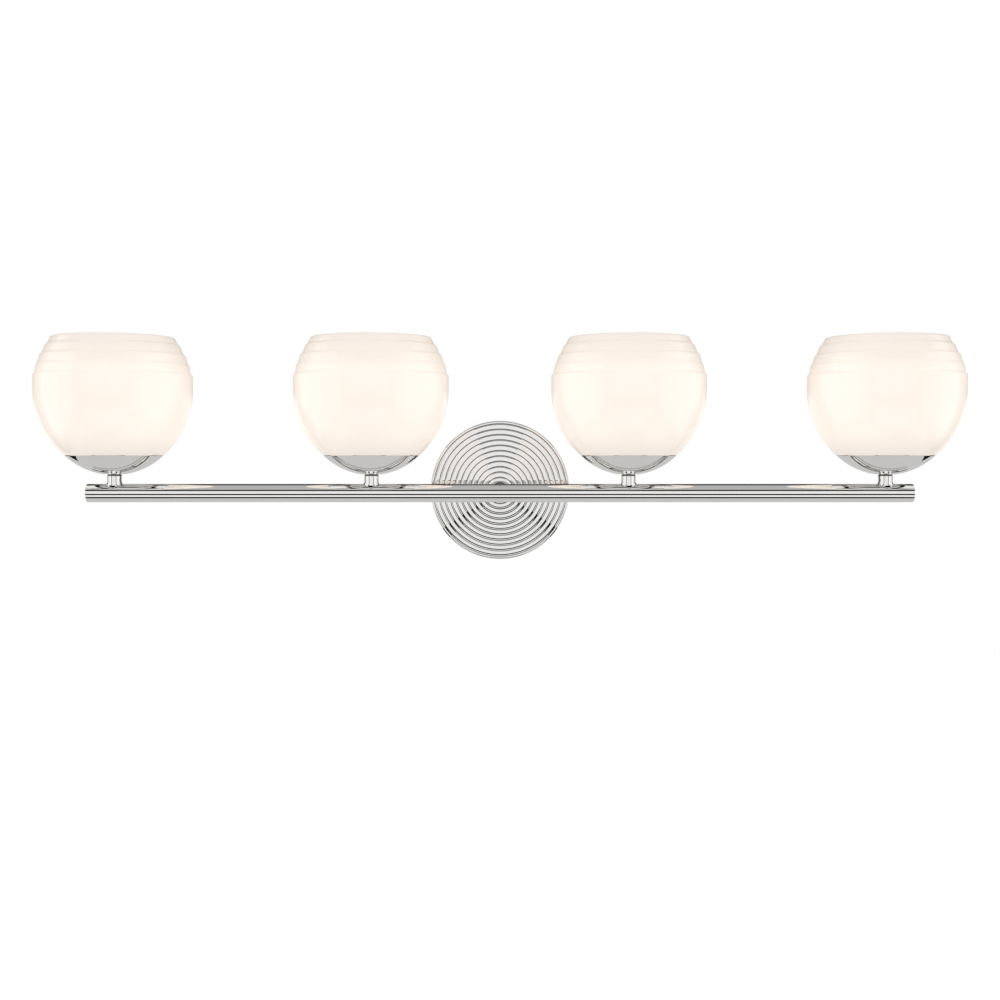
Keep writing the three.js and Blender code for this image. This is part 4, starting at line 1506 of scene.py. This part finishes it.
    def build_lamp(self) -> None:
        """The two-pin lamp: a waisted base with flat pins, and a frosted capsule with a tip."""
        body, space = self.name("lamp"), self.space("lamp_base")
        radius, top = space.radius, space.high[2]
        waist, bottom = radius - 0.6, self.space("lamp_holder").high[2] + FIT
        corners = [
            [0, bottom, 0], [radius - 1.2, bottom, 0.4], [radius, bottom + 1.5, 0.8],
            [radius, bottom + 3.5, 0.4], [waist, bottom + 4.1, 0.3], [waist, bottom + 6.4, 0.3],
            [radius, bottom + 7.0, 0.4], [radius, top, 0.6], [0, top, 0],
        ]
        (wide, thick), low = self.pin, space.low[2]
        pins = [box([x - wide, -thick, low], [x + wide, thick, bottom + 1]) for x in PIN_PLACES]
        self.add("lamp_foot", ring(corners).joined(*pins), LAMP_BASE, body, "lamp_base")
        space = self.space("lamp_bulb")
        (bottom, top), radius, shoulder = space.tall, space.radius, space.high[2] - 1.6
        depth = radius * 0.92
        corners = np.vstack([
            [[0, bottom, 0], [radius - 1.5, bottom, 0.6], [radius - 0.3, bottom + 1.5, 1.5]],
            [[radius, bottom + 5, 3]],
            plain(ellipse_run(radius, depth, shoulder - depth, top - 9.5, top - 1.75, 24)),
            [[1.2, shoulder, 0.6], [0.9, top, 0.6], [0, top, 0]],
        ])
        self.add("lamp_capsule", ring(corners), FROSTED, body, "lamp_bulb")


@dataclass
class Wiring:
    """Leads in the bar, stems and arm, the two connectors and the earth wire."""

    trunk: float = 1.5
    lead: float = 0.9
    trunk_side: float = 2.2
    trunk_drop: float = 2.5
    lead_side: float = 1.5
    lift: float = 0.5
    sides: int = 20
    grip_ribs: int = 16
    grip_depth: float = 0.35
    eye: tuple[float, float] = (2.2, 3.2)
    eye_low: float = 2.3
    eye_thickness: float = 0.8

    def build(self, lights: int) -> None:
        """Builds both leads, both connectors and the earth wire.

        Args:
            lights: How many lights the leads serve.
        """
        for name, side, finish in (("live", -1, BLACK_SLEEVE), ("neutral", 1, WHITE_SLEEVE)):
            connector = Space.of(f"wire_connector_{name}")
            lead = self.lead_shape(side, lights, connector)
            place_piece(f"lead_{name}_sleeve", lead, finish, "frame", [f"lead_{name}"])
            nut = self.connector_shape(connector)
            place_piece(f"wire_nut_{name}", nut, CONNECTOR, "frame", [f"wire_connector_{name}"])
        place_piece("earth_wire", self.earth_shape(), COPPER, "frame", ["earth_lead"])

    def wire(self, start: Point, end: Point, radius: float | None = None) -> Shape:
        """A straight round wire between two points, as thick as a lead if no radius is given."""
        return swept(np.linspace(start, end, 3), radius or self.lead, self.sides)

    def lead_shape(self, side: int, lights: int, connector: Space) -> Shape:
        """One conductor: a trunk along the bar, a riser in every stem and a run out through the arm.

        Args:
            side: -1 for the front conductor and 1 for the rear one.
            lights: How many risers there are.
            connector: The space of the connector that takes its end.

        Returns:
            The conductor's surface.
        """
        bar_y = Space.of("bar_tube").middle[1]
        y, riser_y = bar_y + side * self.trunk_side, bar_y + side * self.lead_side
        top = Space.of("lamp_holder_1").low[2] - 0.4
        left, right = (Space.of(f"stem_{number}").middle[0] for number in (1, lights))
        drop, lift, x = -self.trunk_drop, self.lift, side * self.lead_side
        end = Space.of("arm_nipple").high[1]
        cx, cy = connector.middle[:2]
        low, high = connector.tall
        tail = [
            (x, end - self.lead, lift), (x, end + self.lead * 2, lift), (cx * 0.35, cy, low * 0.25),
            (cx * 0.95, cy, low * 0.55), (cx, cy, low + (high - low) / 4),
        ]
        trunk = self.wire((left - self.lead, y, drop), (right + self.lead, y, drop), self.trunk)
        places = np.linspace(left, right, lights)
        risers = [self.wire((place, riser_y, drop), (place, riser_y, top)) for place in places]
        climb = self.wire((x, y, drop), (x, y, lift))
        run = self.wire((x, y, lift), (x, end, lift))
        return trunk.joined(*risers, climb, run, swept(smooth_path(tail, 12), self.lead, self.sides))

    def connector_shape(self, space: Space) -> Shape:
        """A twist-on connector with grip ribs that fade towards its tip.

        Args:
            space: The space of the connector.

        Returns:
            The closed shape.
        """
        (bottom, top), base = space.tall, space.radius
        corners = [
            [0, bottom + 9, 0], [1.4, bottom + 9, 0.2], [1.4, bottom + 1.5, 0.2], [3.2, bottom, 0.3],
            [base, bottom, 0.4], [base, bottom + 3, 0.6], [base - 0.5, bottom + 3.6, 0.4],
            [3.1, top - 1, 1.5], [2.4, top, 0.8], [0.0, top, 0],
        ]
        outline = supported(rounded(corners), closed=False)

        def ribs(r: Grid, z: Grid, angle: Grid) -> Pair:
            """Ribs above the plain skirt, as a wave of the angle."""
            share = np.clip((z - bottom - 3.8) / 1.5, 0, 1) * np.clip((top - 1.5 - z) / 2, 0, 1)
            turns = self.grip_ribs * angle / (2 * np.pi)
            return r - self.grip_depth * dip(turns) * share * (r > 2.2), z

        station = stations(outline)
        places = np.unique(np.concatenate([station, np.arange(0, station[-1], 0.5)]))
        return turned(along(places, outline), 10 * self.grip_ribs, ribs).moved(*space.middle[:2])

    def earth_shape(self) -> Shape:
        """The bare earth wire: an eye under the green screw and a stranded tail to the nut.

        Returns:
            The closed shape of both.
        """
        x, nut = Space.of("earth_screw").middle[0], Space.of("arm_nut")
        flange, (back, front) = nut.radius, nut.deep
        (inner, outer), low, high = self.eye, self.eye_low, self.eye_low + self.eye_thickness
        middle = (low + high) / 2
        eye = [[inner, low, 0.2], [outer, low, 0.3], [outer, high, 0.3], [inner, high, 0.2]]
        path = [
            (x, self.lead / 2 - outer, middle), (x - outer, -7.333, middle + 1.5),
            (flange, -11.0, back / 2), (flange - 1.0, -self.lead, front - 1.5 - self.lead),
        ]
        tail = swept(smooth_path(path, 24), self.lead / 2, 36, twist=5.0, strands=6)
        return ring(eye, DRILL_FACETS).moved(x).joined(tail).facing(Axis.FRONT)


class Bracket:
    """The strap against the wall and the earth screw, which keep their CAD shapes."""

    def build(self) -> None:
        """Dresses both nodes."""
        dress_node("wall_bracket", ZINC)
        dress_node("earth_screw", GREEN)


@dataclass
class Studio:
    """White surroundings, a pale floor, soft light and the camera.

    The light comes from a room of white cards: one in front, one below it, a ceiling, a grey floor
    and one card on each side, with dark gaps between them. Angles are degrees up from straight in
    front, in the plane across the bar.
    """

    card_bands: tuple[tuple[float, float], ...] = (
        (-180.0, 0.61), (-68.0, 0.005), (-49.0, 0.98), (-26.5, 0.005), (-9.0, 0.9),
        (25.5, 0.005), (43.5, 0.5), (116.0, 0.05),
    )
    side_reach: float = 0.75
    ceiling: float = 0.625
    gap: tuple[float, float] = (0.84, 1.12)
    side_foot: tuple[float, float] = (0.7, 0.98)
    side_level: float = 1.0
    side_end: float = 0.35
    back_level: float = 0.06
    dark: Colour = (0.01, 0.01, 0.01)
    least: float = 1e-4
    camera_place: tuple[float, float, float] = (0.0, -1.319, 0.0377)
    camera_drop: float = 2.06
    lens: float = 50.0
    floor_level: float = -600.0
    floor_depth: float = 10.0
    floor_size: float = 2400.0

    def build(self) -> None:
        """Builds the world, the floor and the camera."""
        bpy.context.scene.view_settings.view_transform = "Standard"
        self.build_world()
        self.build_floor()
        self.build_camera()

    def build_world(self) -> None:
        """Light by direction: bands by the angle across the bar, and cards at both sides.

        A direction (x, y, z) meets a side card where |x| ÷ reach is over the larger of |y| and the
        height's share of the ceiling. The card ends over the floor, with a dark gap between.
        """
        world = bpy.data.worlds.new("studio")
        bpy.context.scene.world = world
        world.use_nodes = True
        graph = Graph(world.node_tree)
        x, y, z = graph.parts(graph.node("TexCoord").outputs["Generated"])
        turn = graph.product(graph.maths("ARCTAN2", z, graph.product(y, -1.0)), 180 / math.pi)
        share = graph.span(turn, -180.0, 180.0, 0.0, 1.0)
        ramp = graph.node("ValToRGB", {"Fac": share})
        stops = ramp.color_ramp
        stops.interpolation = "CONSTANT"
        for number, (angle, level) in enumerate(self.card_bands):
            place = (angle + 180) / 360
            stop = stops.elements[number] if number < 2 else stops.elements.new(place)
            stop.position, stop.color = place, (level, level, level, 1)
        across = graph.maths("MAXIMUM", graph.maths("ABSOLUTE", x), self.least)
        up = graph.maths("DIVIDE", z, self.ceiling)
        reach = graph.maths("MAXIMUM", graph.maths("ABSOLUTE", y), up)
        side = graph.maths("DIVIDE", across, self.side_reach)
        ratio = graph.maths("DIVIDE", side, graph.maths("MAXIMUM", reach, self.least))
        card = graph.blend(graph.larger(y, self.side_end), (self.side_level,) * 3, (self.back_level,) * 3)
        down = graph.maths("DIVIDE", graph.product(z, -1.0), across)
        foot = graph.blend(graph.larger(down, self.side_foot[1]), self.dark, (self.card_bands[0][1],) * 3)
        card = graph.blend(graph.larger(down, self.side_foot[0]), card, foot)
        past = graph.larger(ratio, self.gap[1])
        lit = graph.blend(past, ramp.outputs[0], card)
        edge = graph.maths("SUBTRACT", graph.larger(ratio, self.gap[0]), past)
        over_floor = graph.larger(turn, self.card_bands[1][0])
        room = graph.blend(graph.product(edge, over_floor), lit, self.dark)
        seen = graph.node("LightPath").outputs["Is Camera Ray"]
        colour = graph.blend(seen, room, (1.0, 1.0, 1.0))
        background = graph.node("Background", {"Color": colour, "Strength": 1.0})
        graph.node("OutputWorld", {"Surface": background.outputs[0]})

    def build_floor(self) -> None:
        """A plain pale floor, lit to the same white as the surroundings."""
        half, level = self.floor_size / 2, self.floor_level
        mesh = box([-half, -half, level - self.floor_depth], [half, half, level]).mesh("studio_floor")
        material, graph = new_material("studio_floor")
        cloud = graph.node("TexNoise", {"Vector": graph.place(), "Scale": 3.0}).outputs[0]
        white = graph.blend(cloud, (0.8, 0.8, 0.8), (0.84, 0.84, 0.84))
        light = {"Emission Color": (1, 1, 1, 1), "Emission Strength": 0.8}
        graph.surface({"Base Color": white, "Roughness": 0.9} | light)
        mesh.materials.append(material)
        floor = new_object("studio_floor", mesh)
        floor.visible_glossy = False
        floor.visible_diffuse = False

    def build_camera(self) -> None:
        """The camera, level with the globes' lower half and tilted a little down."""
        camera = new_object("camera", bpy.data.cameras.new("camera"))
        camera.data.lens = self.lens
        camera.data.sensor_width = 36.0
        camera.location = Vector(self.camera_place)
        camera.rotation_euler = (math.radians(90 - self.camera_drop), 0.0, 0.0)
        bpy.context.scene.camera = camera


def main() -> None:
    """Builds the light in order and reports each piece."""
    logging.basicConfig(level=logging.INFO, format="%(name)s %(message)s")
    lights = sum(node.startswith("glass_shade_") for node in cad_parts)
    Studio().build()
    Bar().build(lights)
    Canopy().build()
    for number in range(1, lights + 1):
        Light(number).build()
    Wiring().build(lights)
    Bracket().build()


if __name__ == "__main__":
    main()
